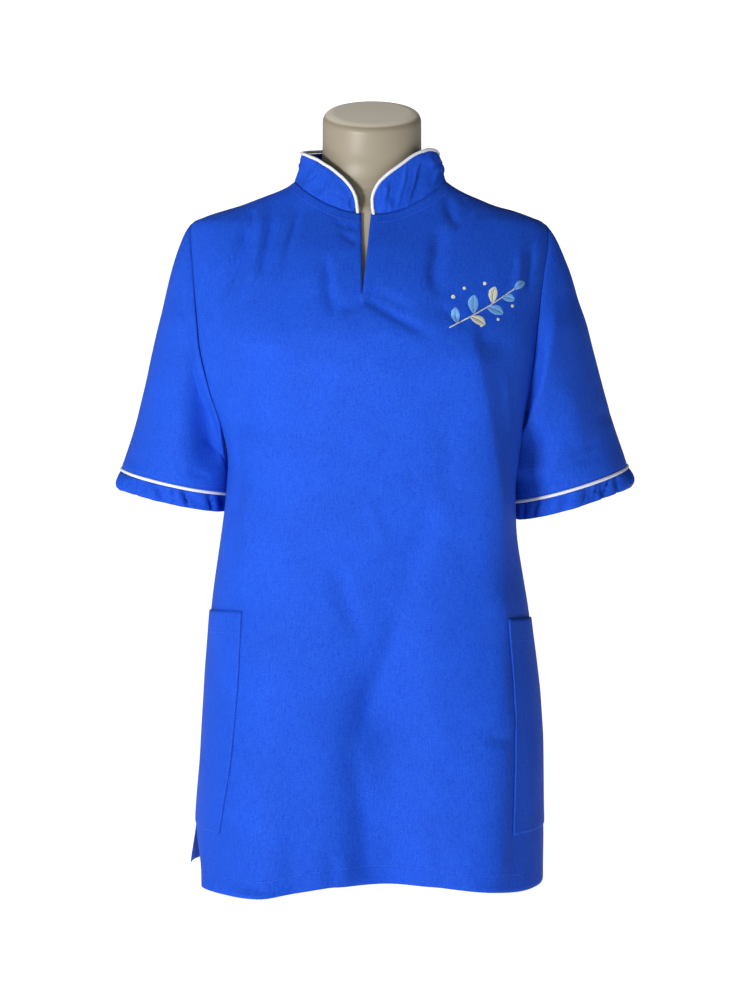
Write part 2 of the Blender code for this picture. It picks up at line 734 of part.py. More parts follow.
def band_rings(path):
    """The sleeve band, a little puckered where it was turned under."""
    rings = []
    around = path.shape[1]
    for share in (0.0, 0.5, 1.0):
        ring = along(path, lengths_from_end=BAND * (1 - share))
        middle = ring.mean(axis=0)
        way = ring - middle
        way[:, 2] = 0
        way /= np.linalg.norm(way, axis=1)[:, None]
        wave = 0.0006 * np.cos(np.arange(around) * math.pi) * math.sin(math.pi * share)
        rings.append(ring + way * wave[:, None])
    return rings


def make_collar():
    """The standing collar with round ends, and the piping along its upper edge."""
    base, at, length = neck_curve(57)
    high = collar_height(at, length)
    keep = slice(1, len(base) - 1)
    rows = []
    for part in (0.0, 0.34, 0.68, 1.0):
        rows.append(collar_point(base[keep], high[keep], part))
    grid = np.array(rows)
    faces = grid_faces(grid.shape[0], grid.shape[1], False)
    make_cloth("collar", grid.reshape(-1, 3), faces, BLUE)
    ridge = collar_point(base, high, 1.0)
    ahead = np.gradient(ridge, axis=0)
    ahead /= np.linalg.norm(ahead, axis=1)[:, None]
    side_way = ridge - ridge.mean(axis=0)
    side_way[:, 2] = 0
    side_way /= np.linalg.norm(side_way, axis=1)[:, None]
    up = np.cross(side_way, ahead)
    up /= np.linalg.norm(up, axis=1)[:, None]
    up *= np.sign(up[len(up) // 2, 2])
    path = ridge + up * (PIPE + APART + 0.0002)
    make_tube("collar_piping", path, PIPE, WHITE)


def form_rings(around=32):
    """Level rings of the form up to the shoulders, then leaning ones up the neck."""
    turn = 2 * math.pi * np.arange(around) / around
    rings = []
    heights = (0.030, 0.080, 0.140, 0.200, 0.270, 0.340, 0.410, 0.470, 0.530, 0.580)
    heights += (0.620, 0.660, 0.690, 0.710, 0.7245, 0.7300, 0.7359, 0.7420, 0.7489)
    for z in heights:
        inside = {k: smooth(z, INSIDE["z"], INSIDE[k]) for k in ("side", "front", "back")}
        n = np.where(np.cos(turn) > 0, squareness(BACK, z), squareness(FRONT, z))
        s, c = np.sin(turn), np.cos(turn)
        r = (np.abs(s) ** n + np.abs(c) ** n) ** (-1 / n)
        wide = np.where(s > 0, half_width(LEFT, z), half_width(RIGHT, z)) - inside["side"]
        seam = body("seam", z)
        back, front = body("back", z) - inside["back"], body("front", z) - inside["front"]
        deep = np.where(c > 0, back - seam, front + seam)
        rings.append(np.stack([wide * r * s, seam + deep * r * c, np.full(around, z)], axis=-1))
    for i in range(len(NECK["z"])):
        row = {k: v[i] for k, v in NECK.items()}
        y = row["y"] + row["deep"] * np.cos(turn)
        z = row["z"] + row["tilt"] * (y - row["y"])
        rings.append(np.stack([row["wide"] * np.sin(turn), y, z], axis=-1))
    return [ring[::-1] for ring in rings]


def make_form():
    make_rings("form", form_rings(), BEIGE)
    turn = 2 * math.pi * np.arange(28) / 28
    rings = []
    for z, grow in ((0.0, 0.0), (0.003, 0.003), (0.029, 0.003), (0.0322, 0.0)):
        x = (0.100 + grow) * np.sin(turn)
        y = 0.012 + (0.038 + grow) * np.cos(turn)
        rings.append(np.stack([x, y, np.full(28, z)], axis=-1)[::-1])
    make_rings("form_foot", rings, DARK)


def main():
    for old in list(bpy.data.objects):
        bpy.data.objects.remove(old)
    front, back = make_body()
    make_sleeves(front, back)
    make_collar()
    make_form()


if __name__ == "__main__":
    main()
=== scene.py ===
"""A short-sleeved work tunic on its limbless dress form, in plain soft studio light.

Every size is in metres. +X is the right of the picture (the wearer's left), -Y is the
front and +Z is up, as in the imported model. The cloth is made again here on the same level
sections as its solids, in a much finer mesh, with its creases, sewing and embroidery.
"""

import json
import logging
import math
from dataclasses import dataclass, field
from enum import IntEnum

import bpy
import numpy as np
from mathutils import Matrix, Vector, noise
from mathutils.bvhtree import BVHTree

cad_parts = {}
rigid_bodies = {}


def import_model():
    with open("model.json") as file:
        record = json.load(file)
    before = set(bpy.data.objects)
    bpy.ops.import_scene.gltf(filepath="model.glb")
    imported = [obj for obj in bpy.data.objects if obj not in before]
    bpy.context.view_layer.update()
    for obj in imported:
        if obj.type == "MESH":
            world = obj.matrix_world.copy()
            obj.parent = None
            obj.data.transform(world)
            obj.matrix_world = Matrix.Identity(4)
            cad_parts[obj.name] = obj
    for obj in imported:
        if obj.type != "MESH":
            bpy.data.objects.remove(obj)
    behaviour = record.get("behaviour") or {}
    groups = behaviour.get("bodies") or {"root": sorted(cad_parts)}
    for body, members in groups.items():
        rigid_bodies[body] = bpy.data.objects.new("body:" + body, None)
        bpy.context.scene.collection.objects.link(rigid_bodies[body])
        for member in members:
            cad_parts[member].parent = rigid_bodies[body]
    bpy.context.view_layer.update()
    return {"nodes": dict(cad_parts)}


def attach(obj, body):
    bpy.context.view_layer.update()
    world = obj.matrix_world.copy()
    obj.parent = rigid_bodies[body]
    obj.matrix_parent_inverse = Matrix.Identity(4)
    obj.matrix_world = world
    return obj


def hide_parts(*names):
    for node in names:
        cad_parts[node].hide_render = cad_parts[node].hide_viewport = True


LOG = logging.getLogger("tunic")

LIFT = 0.003  # how much higher the worn tunic hangs than its tables say
WALL = 0.0012
UNDERARM = 0.500
SHOULDER_TIP = 0.7245
NECK_SIDE = 0.7685
NECK_FRONT = 0.7325
NECK_BACK = 0.7680
SLIT_TIP = 0.6455
SLIT_X = -0.0102
NECK_SHARE = 0.42  # share of a panel's half that ends at the neckline
HEM_DEEP = 0.0185  # from the hem's edge up to its line of stitches
BLUNT = 0.05  # how far a sharp crease's edge is rounded, as a share of its reach
WAVE_REPEAT = 0.314  # length of one band of a wave texture of scale 1


class Side(IntEnum):
    """The wearer's left and right."""

    LEFT = 1
    RIGHT = -1

    @property
    def word(self) -> str:
        """The side in words."""
        return self.name.lower()


class Face(IntEnum):
    """The two panels of the body."""

    FRONT = -1
    BACK = 1

    @property
    def word(self) -> str:
        """The panel in words."""
        return self.name.lower()


SLIT_OPEN = {Side.LEFT: 0.0092, Side.RIGHT: -0.0011}
COLLAR_ENDS = {Side.LEFT: 0.0038, Side.RIGHT: -0.0170}

# Levels of the pockets' mouths at their inner and outer corner, and where their front
# edges are: shares of the panel's half at the foot and the mouth, and the bow between.
POCKET_MOUTH = {Side.LEFT: (0.2985, 0.2925), Side.RIGHT: (0.3080, 0.3010)}
POCKET_START = {Side.LEFT: (0.512, 0.566, 0.0), Side.RIGHT: (0.565, 0.527, 0.031)}

# Middle, half width, half depth, tilt in degrees and forward dip of each sleeve's opening.
SLEEVE_MOUTHS = {
    Side.RIGHT: ((-0.2231, 0.028, 0.4201), 0.0682, 0.060, 11.0, 0.015),
    Side.LEFT: ((0.2242, 0.028, 0.4173), 0.0742, 0.060, 14.8, 0.034),
}


def table(names: str, rows: list) -> dict:
    """Arrays by column name.

    Args:
        names: the names of the columns, parted by spaces.
        rows: the rows, each with a number for every column.

    Returns:
        A dict of one array for each column.
    """
    return dict(zip(names.split(), np.array(rows, float).T))


# Level sections of the worn tunic: half width on the wearer's right and left, depth
# before and behind the middle, where the side seam is, and how square the curve is in
# front and behind (2 is an ellipse).
BODY = table(
    "z wide_r wide_l front back seam square_f square_b",
    [
        (0.0000, 0.1985, 0.1905, 0.1470, 0.1260, 0.000, 2.75, 2.50),
        (0.0500, 0.1955, 0.1897, 0.1440, 0.1240, 0.000, 2.70, 2.50),
        (0.0850, 0.1935, 0.1890, 0.1420, 0.1220, 0.000, 2.65, 2.50),
        (0.1500, 0.1883, 0.1880, 0.1380, 0.1190, 0.000, 2.60, 2.45),
        (0.2000, 0.1853, 0.1855, 0.1340, 0.1160, 0.000, 2.55, 2.40),
        (0.3100, 0.1755, 0.1700, 0.1280, 0.1100, -0.010, 2.45, 2.25),
        (0.4000, 0.1622, 0.1562, 0.1260, 0.1060, -0.026, 2.40, 1.95),
        (0.4300, 0.1585, 0.1553, 0.1265, 0.1050, -0.028, 2.35, 1.95),
        (0.4640, 0.1560, 0.1590, 0.1280, 0.1055, -0.030, 2.25, 1.95),
        (0.5000, 0.1630, 0.1645, 0.1300, 0.1070, -0.024, 2.20, 2.05),
        (0.5500, 0.1860, 0.1800, 0.1330, 0.1100, -0.012, 2.10, 2.15),
        (0.6000, 0.2010, 0.1905, 0.1320, 0.1120, -0.004, 2.10, 2.10),
        (0.6500, 0.2045, 0.1955, 0.1140, 0.1100, 0.000, 2.10, 2.10),
        (0.6900, 0.2025, 0.1965, 0.0900, 0.1030, 0.000, 2.10, 2.10),
        (0.7130, 0.2000, 0.1935, 0.0700, 0.0945, 0.000, 2.10, 2.10),
        (0.7245, 0.1950, 0.1860, 0.0595, 0.0885, 0.000, 2.10, 2.10),
        (0.7294, 0.1830, 0.1735, 0.0552, 0.0855, 0.000, 2.10, 2.10),
        (0.7359, 0.1645, 0.1545, 0.0500, 0.0810, 0.000, 2.10, 2.10),
        (0.7424, 0.1435, 0.1335, 0.0462, 0.0763, 0.000, 2.10, 2.10),
        (0.7489, 0.1265, 0.1175, 0.0430, 0.0715, 0.000, 2.10, 2.10),
        (0.7620, 0.0940, 0.0905, 0.0370, 0.0625, 0.000, 2.10, 2.10),
        (0.7685, 0.0845, 0.0810, 0.0340, 0.0580, 0.000, 2.10, 2.10),
    ],
)

# Height of the front hem across the tunic.
HEM = table(
    "x z",
    [
        (-0.190, 0.0035),
        (-0.155, 0.0030),
        (-0.120, 0.0042),
        (-0.079, 0.0115),
        (-0.040, 0.0172),
        (0.015, 0.0184),
        (0.066, 0.0168),
        (0.094, 0.0139),
        (0.124, 0.0098),
        (0.168, 0.0045),
        (0.190, 0.0048),
    ],
)

# Height of the collar over the neck seam, by the length along the seam from each end.
COLLAR = table(
    "run right left",
    [
        (0.000, 0.0000, 0.0000),
        (0.003, 0.0150, 0.0200),
        (0.010, 0.0250, 0.0340),
        (0.022, 0.0320, 0.0408),
        (0.039, 0.0355, 0.0446),
        (0.052, 0.0355, 0.0460),
        (0.072, 0.0325, 0.0430),
        (0.095, 0.0295, 0.0340),
        (0.106, 0.0300, 0.0285),
        (0.130, 0.0325, 0.0280),
        (0.160, 0.0340, 0.0310),
        (0.240, 0.0340, 0.0340),
    ],
)

# How far the form stays inside the tunic's sections at each height.
INSIDE = table(
    "z side front back",
    [
        (0.0300, 0.052, 0.062, 0.032),
        (0.1000, 0.038, 0.046, 0.018),
        (0.2000, 0.028, 0.034, 0.012),
        (0.3100, 0.030, 0.036, 0.026),
        (0.4100, 0.030, 0.042, 0.036),
        (0.5000, 0.022, 0.028, 0.024),
        (0.5600, 0.026, 0.014, 0.012),
        (0.6100, 0.024, 0.011, 0.008),
        (0.6600, 0.020, 0.010, 0.007),
        (0.7000, 0.016, 0.008, 0.006),
        (0.7245, 0.0130, 0.0065, 0.0070),
        (0.7359, 0.0058, 0.0057, 0.0070),
        (0.7489, 0.0056, 0.0057, 0.0082),
    ],
)

# The form above the shoulders: middle, half width, depth and forward tilt of each ring.
NECK = table(
    "z y wide deep tilt",
    [
        (0.7489, 0.0150, 0.1130, 0.0520, 0.000),
        (0.7560, 0.0140, 0.0900, 0.0500, 0.000),
        (0.7640, 0.0100, 0.0680, 0.0450, 0.030),
        (0.7760, 0.0060, 0.0580, 0.0440, 0.080),
        (0.7900, 0.0040, 0.0550, 0.0440, 0.140),
        (0.8080, 0.0010, 0.0540, 0.0450, 0.240),
        (0.8340, -0.0020, 0.0538, 0.0460, 0.370),
        (0.8390, -0.0030, 0.0524, 0.0450, 0.385),
        (0.8422, -0.0030, 0.0492, 0.0426, 0.385),
        (0.8436, -0.0030, 0.0434, 0.0372, 0.385),
    ],
)


def smooth(at: np.ndarray, knots: np.ndarray, values: np.ndarray) -> np.ndarray:
    """A curve through the values that never overshoots them.

    Args:
        at: where the curve is read.
        knots: where the values are given.
        values: the values at the knots.

    Returns:
        The curve's height at each place.
    """
    at = np.clip(at, knots[0], knots[-1])
    step = np.diff(knots)
    slope = np.diff(values) / step
    same = slope[:-1] * slope[1:] > 0
    total = np.where(same, slope[:-1] + slope[1:], 1.0)
    inner = np.where(same, 2 * slope[:-1] * slope[1:] / total, 0.0)
    tangent = np.concatenate([slope[:1], inner, slope[-1:]])
    i = np.clip(np.searchsorted(knots, at) - 1, 0, len(knots) - 2)
    t = (at - knots[i]) / step[i]
    low = values[i] * (1 + 2 * t) * (1 - t) ** 2 + tangent[i] * step[i] * t * (1 - t) ** 2
    high = values[i + 1] * t**2 * (3 - 2 * t) + tangent[i + 1] * step[i] * t**2 * (t - 1)
    return low + high


def ease(x: np.ndarray, start: float, end: float) -> np.ndarray:
    """Rises softly from 0 to 1 between start and end."""
    t = np.clip((x - start) / (end - start), 0, 1)
    return t * t * (3 - 2 * t)


def unit(vectors: np.ndarray) -> np.ndarray:
    """The same directions with a length of one."""
    return vectors / np.maximum(np.linalg.norm(vectors, axis=-1, keepdims=True), 1e-9)


def run_of(points: np.ndarray) -> np.ndarray:
    """Length along a line of points, from its first one."""
    return np.concatenate([[0], np.cumsum(np.linalg.norm(np.diff(points, axis=0), axis=1))])


def resample(points: np.ndarray, at: np.ndarray) -> np.ndarray:
    """Points of a line at given lengths from its start."""
    run = run_of(points)
    return np.stack([np.interp(at, run, points[:, k]) for k in range(points.shape[1])], axis=-1)


class Section:
    """Reads the level sections of the worn tunic."""

    @staticmethod
    def at(column: str, z: np.ndarray) -> np.ndarray:
        """One column of the sections at a height."""
        return smooth(z, BODY["z"], BODY[column])

    @staticmethod
    def half_width(side: Side, z: np.ndarray) -> np.ndarray:
        """Half width of the tunic on one side at a height."""
        return Section.at("wide_l" if side == Side.LEFT else "wide_r", z)

    @staticmethod
    def square(face: Face, z: np.ndarray) -> np.ndarray:
        """How square the section is in front or behind."""
        return Section.at("square_f" if face == Face.FRONT else "square_b", z)

    @staticmethod
    def depth(x: np.ndarray, z: np.ndarray, face: Face, side: Side) -> np.ndarray:
        """Y of the cloth over a point of the front or back view.

        Args:
            x: X of the points.
            z: their heights.
            face: which view.
            side: which half.

        Returns:
            Y of the cloth there.
        """
        n = Section.square(face, z)
        share = np.clip(np.abs(x) / Section.half_width(side, z), 0, 1)
        seam = Section.at("seam", z)
        deep = Section.at("front" if face == Face.FRONT else "back", z) - face * seam
        return seam + face * deep * (1 - share**n) ** (1 / n)

    @staticmethod
    def unit_x(angle: np.ndarray, z: np.ndarray, face: Face) -> np.ndarray:
        """Share of the half width at an angle round the section."""
        n = Section.square(face, z)
        return np.sin(angle) / (np.sin(angle) ** n + np.cos(angle) ** n) ** (1 / n)


def route(knots: tuple, count: int = 24) -> np.ndarray:
    """A smooth line through given points.

    Args:
        knots: points of two or three numbers each.
        count: how many points the line gets.

    Returns:
        The points of the line.
    """
    points = np.array(knots, float)
    run = run_of(points)
    at = np.linspace(0, run[-1], count)
    columns = [smooth(at, run, points[:, k]) for k in range(points.shape[1])]
    return np.stack(columns if len(points) > 2 else [np.interp(at, run, c) for c in points.T], -1)


@dataclass(frozen=True)
class Crease:
    """A soft trough or ridge of the cloth, along a line of the front or back view.

    high is how far it stands out, below nothing for a trough. wide gives how far it
    reaches to the left and the right of its line, for someone who walks along it and
    sees the cloth from outside. fade is the share of its length over which it rises
    at its start and sinks at its end. A sharp one has an edge along its line.
    """

    knots: tuple
    high: float
    wide: tuple = (0.008, 0.008)
    fade: tuple = (0.3, 0.4)
    sharp: bool = False

    def height(self, x: np.ndarray, z: np.ndarray) -> np.ndarray:
        """How far the crease moves the cloth at points of the view.

        Args:
            x: X of the points.
            z: height of the points, without the lift.

        Returns:
            The move outwards at each point.
        """
        line = route(self.knots)
        start, step = line[:-1], np.diff(line, axis=0)
        out_x = x[:, None] - start[None, :, 0]
        out_z = z[:, None] - start[None, :, 1]
        t = (out_x * step[:, 0] + out_z * step[:, 1]) / (step**2).sum(axis=1)
        t = np.clip(t, 0, 1)
        gap_x, gap_z = out_x - t * step[:, 0], out_z - t * step[:, 1]
        far = np.hypot(gap_x, gap_z)
        near = far.argmin(axis=1)
        row = np.arange(len(x))
        share = (near + t[row, near]) / len(step)
        turn = step[near, 0] * gap_z[row, near] - step[near, 1] * gap_x[row, near]
        wide = np.where(turn > 0, self.wide[0], self.wide[1])
        rise = ease(share, 0, self.fade[0]) * (1 - ease(share, 1 - self.fade[1], 1))
        away = far[row, near] / wide
        steep = np.hypot(away, BLUNT) if self.sharp else away**2
        return self.high * rise * np.exp(-steep)


# The big soft folds that the solids have too, as (X, height) at both ends, with the
# reach and the rise at each end. They run on over the ends, so they are no Crease.
FOLDS = table(
    "face x_0 z_0 x_1 z_1 width high_0 high_1",
    [
        (-1, 0.0160, -0.010, 0.0120, 0.200, 0.0440, -0.028, -0.012),
        (-1, 0.0120, 0.200, 0.0060, 0.400, 0.0420, -0.012, 0.000),
        (-1, -0.1180, 0.000, -0.1060, 0.330, 0.0280, 0.013, 0.001),
        (-1, 0.1200, 0.000, 0.1300, 0.290, 0.0250, 0.010, 0.003),
        (-1, 0.1300, 0.320, 0.1050, 0.575, 0.0220, 0.004, 0.003),
        (-1, -0.1150, 0.500, -0.1050, 0.585, 0.0240, 0.003, 0.004),
        (-1, 0.0440, 0.450, 0.0300, 0.270, 0.0260, -0.002, -0.002),
        (-1, -0.1300, 0.700, -0.1600, 0.605, 0.0200, -0.002, -0.003),
        (1, 0.0000, 0.000, 0.0000, 0.420, 0.0400, 0.008, -0.003),
        (1, -0.0900, 0.000, -0.0760, 0.400, 0.0300, -0.012, -0.001),
        (1, 0.0860, 0.000, 0.0780, 0.430, 0.0300, -0.011, -0.001),
        (1, -0.1400, 0.660, -0.1050, 0.540, 0.0240, -0.003, -0.002),
        (1, 0.1400, 0.660, 0.1080, 0.530, 0.0240, -0.003, -0.002),
    ],
)

SHOULDER_CREASES = (
    Crease(((-0.126, 0.745), (-0.134, 0.718), (-0.144, 0.685), (-0.174, 0.627)), -0.0051, (0.0055, 0.0078)),
    Crease(((-0.117, 0.743), (-0.119, 0.715), (-0.126, 0.678), (-0.149, 0.628)), 0.0036, (0.0062, 0.0055)),
    Crease(((-0.103, 0.739), (-0.110, 0.710), (-0.116, 0.681), (-0.117, 0.651)), -0.0025, (0.0047, 0.0055)),
    Crease(((-0.075, 0.742), (-0.081, 0.726), (-0.087, 0.706), (-0.099, 0.663)), -0.0025, (0.0047, 0.0039)),
    Crease(((-0.129, 0.738), (-0.130, 0.719)), -0.0025, (0.0023, 0.0023)),
    Crease(((0.081, 0.759), (0.084, 0.737), (0.095, 0.716)), -0.0033, (0.0055, 0.0062)),
    Crease(((0.095, 0.756), (0.103, 0.742)), -0.0020, (0.0031, 0.0031)),
    Crease(((0.087, 0.715), (0.099, 0.727), (0.112, 0.737)), -0.0023, (0.0031, 0.0039)),
    Crease(((0.075, 0.722), (0.070, 0.694), (0.066, 0.667), (0.078, 0.640)), -0.0055, (0.0094, 0.0078)),
    Crease(((0.176, 0.707), (0.172, 0.681), (0.166, 0.640)), -0.0036, (0.0047, 0.0055)),
    Crease(((0.160, 0.700), (0.156, 0.665), (0.150, 0.630)), 0.0025, (0.0047, 0.0047)),
    Crease(((-0.181, 0.685), (-0.178, 0.640), (-0.168, 0.606)), -0.0033, (0.0047, 0.0047)),
)

SLIT_CREASES = (
    Crease(((-0.041, 0.725), (-0.028, 0.719), (-0.014, 0.717)), -0.0018, (0.0026, 0.0034), (0.3, 0.1)),
    Crease(((-0.036, 0.716), (-0.024, 0.706), (-0.013, 0.701)), -0.0021, (0.0034, 0.0043), (0.3, 0.1)),
    Crease(((-0.047, 0.690), (-0.045, 0.650), (-0.033, 0.620)), -0.0043, (0.0059, 0.0076)),
    Crease(((-0.034, 0.630), (-0.020, 0.633), (-0.010, 0.643)), -0.0028, (0.0043, 0.0043), (0.3, 0.1)),
    Crease(
        ((-0.010, 0.644), (0.025, 0.623), (0.051, 0.608), (0.074, 0.596)),
        -0.0040, (0.0059, 0.0043), (0.1, 0.4),
    ),
    Crease(((-0.006, 0.652), (0.021, 0.641), (0.055, 0.624)), -0.0021, (0.0051, 0.0043), (0.1, 0.5)),
    Crease(((0.066, 0.635), (0.087, 0.623), (0.109, 0.610)), -0.0020, (0.0043, 0.0043)),
)

BUST_CREASES = (
    Crease(((0.102, 0.604), (0.123, 0.596), (0.152, 0.590)), -0.0026, (0.011, 0.016)),
    Crease(
        ((0.098, 0.640), (0.104, 0.588), (0.115, 0.521), (0.130, 0.416), (0.138, 0.335)),
        0.0150, (0.036, 0.085), (0.22, 0.35), True,
    ),
    Crease(((0.135, 0.577), (0.140, 0.534), (0.147, 0.474)), 0.0009, (0.005, 0.005)),
    Crease(((-0.120, 0.598), (-0.134, 0.535), (-0.146, 0.485)), -0.0085, (0.080, 0.030), (0.25, 0.3), True),
    Crease(((-0.130, 0.459), (-0.134, 0.363), (-0.141, 0.319)), 0.0029, (0.006, 0.007)),
    Crease(((-0.147, 0.520), (-0.143, 0.450), (-0.147, 0.380)), -0.0026, (0.006, 0.007)),
    Crease(((0.038, 0.462), (0.045, 0.446)), -0.0011, (0.005, 0.005)),
    Crease(((-0.006, 0.436), (0.004, 0.409), (0.017, 0.374)), 0.0013, (0.005, 0.005)),
    Crease(((0.075, 0.520), (0.079, 0.470), (0.083, 0.420)), -0.0019, (0.010, 0.012)),
)

SKIRT_CREASES = (
    Crease(((0.055, 0.438), (0.059, 0.406), (0.044, 0.366), (0.030, 0.315)), -0.0031, (0.0120, 0.0140)),
    Crease(((0.036, 0.330), (0.019, 0.270), (-0.004, 0.212), (-0.021, 0.149)), -0.0045, (0.0100, 0.0140)),
    Crease(((-0.039, 0.371), (-0.028, 0.324), (-0.009, 0.272)), -0.0030, (0.0100, 0.0120)),
    Crease(
        ((-0.024, 0.190), (-0.016, 0.130), (-0.009, 0.080), (-0.006, 0.022)),
        -0.0039, (0.0120, 0.0140), (0.3, 0.1),
    ),
    Crease(
        ((0.139, 0.345), (0.139, 0.223), (0.139, 0.117), (0.134, 0.010)),
        0.0028, (0.0090, 0.0160), (0.1, 0.1),
    ),
    Crease(((-0.112, 0.190), (-0.119, 0.098), (-0.128, 0.008)), -0.0050, (0.045, 0.020), (0.4, 0.02), True),
    Crease(((0.146, 0.168), (0.132, 0.172), (0.121, 0.164)), -0.0028, (0.0060, 0.0070)),
    Crease(((0.150, 0.205), (0.146, 0.190), (0.148, 0.172)), 0.0017, (0.0050, 0.0050)),
    Crease(((-0.045, 0.064), (-0.044, 0.012)), -0.0015, (0.0060, 0.0060), (0.4, 0.05)),
    Crease(((-0.028, 0.058), (-0.029, 0.014)), 0.0015, (0.0060, 0.0060), (0.4, 0.05)),
    Crease(((0.070, 0.090), (0.074, 0.010)), -0.0015, (0.0090, 0.0090), (0.4, 0.05)),
    Crease(((0.100, 0.070), (0.103, 0.008)), 0.0011, (0.0080, 0.0080), (0.4, 0.05)),
    Crease(((-0.085, 0.080), (-0.088, 0.010)), -0.0013, (0.0090, 0.0080), (0.4, 0.05)),
)

BACK_CREASES = (
    Crease(((-0.100, 0.705), (-0.119, 0.660), (-0.134, 0.600)), -0.0041, (0.0090, 0.0070)),
    Crease(((0.105, 0.708), (0.118, 0.655), (0.138, 0.590)), -0.0038, (0.0070, 0.0090)),
    Crease(((-0.084, 0.700), (-0.100, 0.650), (-0.112, 0.590)), 0.0027, (0.0090, 0.0080)),
    Crease(((0.020, 0.742), (0.034, 0.705), (0.058, 0.668)), -0.0018, (0.0060, 0.0070)),
    Crease(((-0.016, 0.742), (-0.035, 0.700), (-0.052, 0.655)), -0.0022, (0.0070, 0.0060)),
    Crease(((-0.118, 0.472), (-0.062, 0.450), (0.000, 0.456), (0.052, 0.446)), -0.0032, (0.0080, 0.0100)),
    Crease(((0.108, 0.492), (0.062, 0.476), (0.008, 0.482)), -0.0025, (0.0080, 0.0070)),
    Crease(((-0.090, 0.430), (-0.040, 0.420), (0.006, 0.428)), 0.0019, (0.0080, 0.0080)),
    Crease(
        ((-0.050, 0.400), (-0.062, 0.320), (-0.075, 0.200), (-0.082, 0.040)),
        -0.0043, (0.0140, 0.0120), (0.3, 0.1),
    ),
    Crease(
        ((0.040, 0.390), (0.050, 0.300), (0.070, 0.180), (0.076, 0.030)),
        -0.0046, (0.0120, 0.0150), (0.3, 0.1),
    ),
    Crease(
        ((0.002, 0.360), (0.007, 0.250), (-0.004, 0.120), (0.002, 0.020)),
        0.0027, (0.0130, 0.0110), (0.3, 0.1),
    ),
    Crease(((-0.122, 0.330), (-0.131, 0.220), (-0.137, 0.080)), 0.0030, (0.0100, 0.0120)),
    Crease(((0.126, 0.300), (0.131, 0.200), (0.141, 0.070)), 0.0027, (0.0120, 0.0090)),
    Crease(((0.150, 0.520), (0.132, 0.450), (0.136, 0.380)), -0.0025, (0.0080, 0.0080)),
)

# The left sleeve's first crease also moves its inner side, under the arm, into the
# tunic's front and back: an open fault.
SLEEVE_CREASES = {
    Side.RIGHT: (
        Crease(
            ((-0.190, 0.630), (-0.186, 0.560), (-0.178, 0.505), (-0.170, 0.445)),
            -0.0150, (0.013, 0.022), (0.3, 0.2),
        ),
        Crease(((-0.200, 0.628), (-0.193, 0.623), (-0.187, 0.612), (-0.184, 0.596)), 0.0022, (0.004, 0.003)),
        Crease(((-0.184, 0.490), (-0.170, 0.478), (-0.156, 0.466)), -0.0022, (0.005, 0.005)),
        Crease(((-0.202, 0.455), (-0.188, 0.450), (-0.174, 0.445)), -0.0018, (0.004, 0.005)),
        Crease(((-0.272, 0.470), (-0.262, 0.463), (-0.250, 0.458)), -0.0010, (0.005, 0.005)),
        Crease(((-0.224, 0.640), (-0.236, 0.570), (-0.250, 0.500)), 0.0018, (0.014, 0.016)),
        Crease(((-0.206, 0.660), (-0.204, 0.635), (-0.196, 0.610)), -0.0018, (0.004, 0.005)),
    ),
    Side.LEFT: (
        Crease(
            ((0.178, 0.650), (0.170, 0.555), (0.160, 0.490), (0.152, 0.440)),
            0.0180, (0.038, 0.030), (0.2, 0.1), True,
        ),
        Crease(((0.206, 0.560), (0.222, 0.505), (0.236, 0.462)), 0.0026, (0.012, 0.013)),
        Crease(((0.150, 0.484), (0.176, 0.480), (0.204, 0.470)), -0.0120, (0.022, 0.022), (0.05, 0.5)),
        Crease(((0.210, 0.474), (0.232, 0.480), (0.252, 0.487)), -0.0022, (0.004, 0.005)),
        Crease(((0.216, 0.464), (0.236, 0.467), (0.256, 0.472)), -0.0020, (0.004, 0.004)),
        Crease(((0.246, 0.520), (0.258, 0.511), (0.268, 0.508)), -0.0020, (0.006, 0.006)),
        Crease(((0.214, 0.700), (0.220, 0.650), (0.232, 0.590)), 0.0014, (0.012, 0.013)),
    ),
}


def drape(points: np.ndarray) -> np.ndarray:
    """The uneven, barely seen waviness of worn cloth at each point, in metres.

    Args:
        points: points of the cloth.

    Returns:
        How far each one moves along its normal.
    """
    out = np.empty(len(points))
    for i, (x, y, z) in enumerate(points):
        place = Vector((x * 14, y * 14, z * 9))
        out[i] = 0.0011 * noise.noise(place) + 0.00045 * noise.noise(place * 3.1)
    return out


def shaped(points: np.ndarray, normals: np.ndarray, face: Face, creases: tuple) -> np.ndarray:
    """How far the big folds, the creases and the waviness move the cloth out.

    Args:
        points: the cloth's points, without the lift.
        normals: its outward normals.
        face: which panel the creases belong to.
        creases: the creases of that panel.

    Returns:
        The move of each point along its normal.
    """
    x, z = points[:, 0], points[:, 2]
    total = np.zeros(len(points))
    for i in np.flatnonzero(FOLDS["face"] == face):
        f = {k: v[i] for k, v in FOLDS.items()}
        run = np.array([f["x_1"] - f["x_0"], f["z_1"] - f["z_0"]])
        t = np.clip(((x - f["x_0"]) * run[0] + (z - f["z_0"]) * run[1]) / (run @ run), 0, 1)
        far = np.hypot(x - f["x_0"] - t * run[0], z - f["z_0"] - t * run[1])
        total += (f["high_0"] + (f["high_1"] - f["high_0"]) * t) * np.exp(-((far / f["width"]) ** 2))
    total *= 1 - ease(z, 0.700, 0.740)
    fine = sum(crease.height(x, z) for crease in creases)
    fine = fine * (1 - ease(z, 0.735, 0.765)) * (0.1 + 0.9 * ease(face * normals[:, 1], 0.25, 0.80))
    return total + fine + drape(points) * ease(face * normals[:, 1] + 1.2, 0.0, 1.0)


def grid_quads(rows: int, columns: int) -> np.ndarray:
    """Quads of a grid of points, counted row by row."""
    corner = (np.arange(rows - 1)[:, None] * columns + np.arange(columns - 1)[None, :]).ravel()
    return np.stack([corner, corner + 1, corner + columns + 1, corner + columns], axis=1)


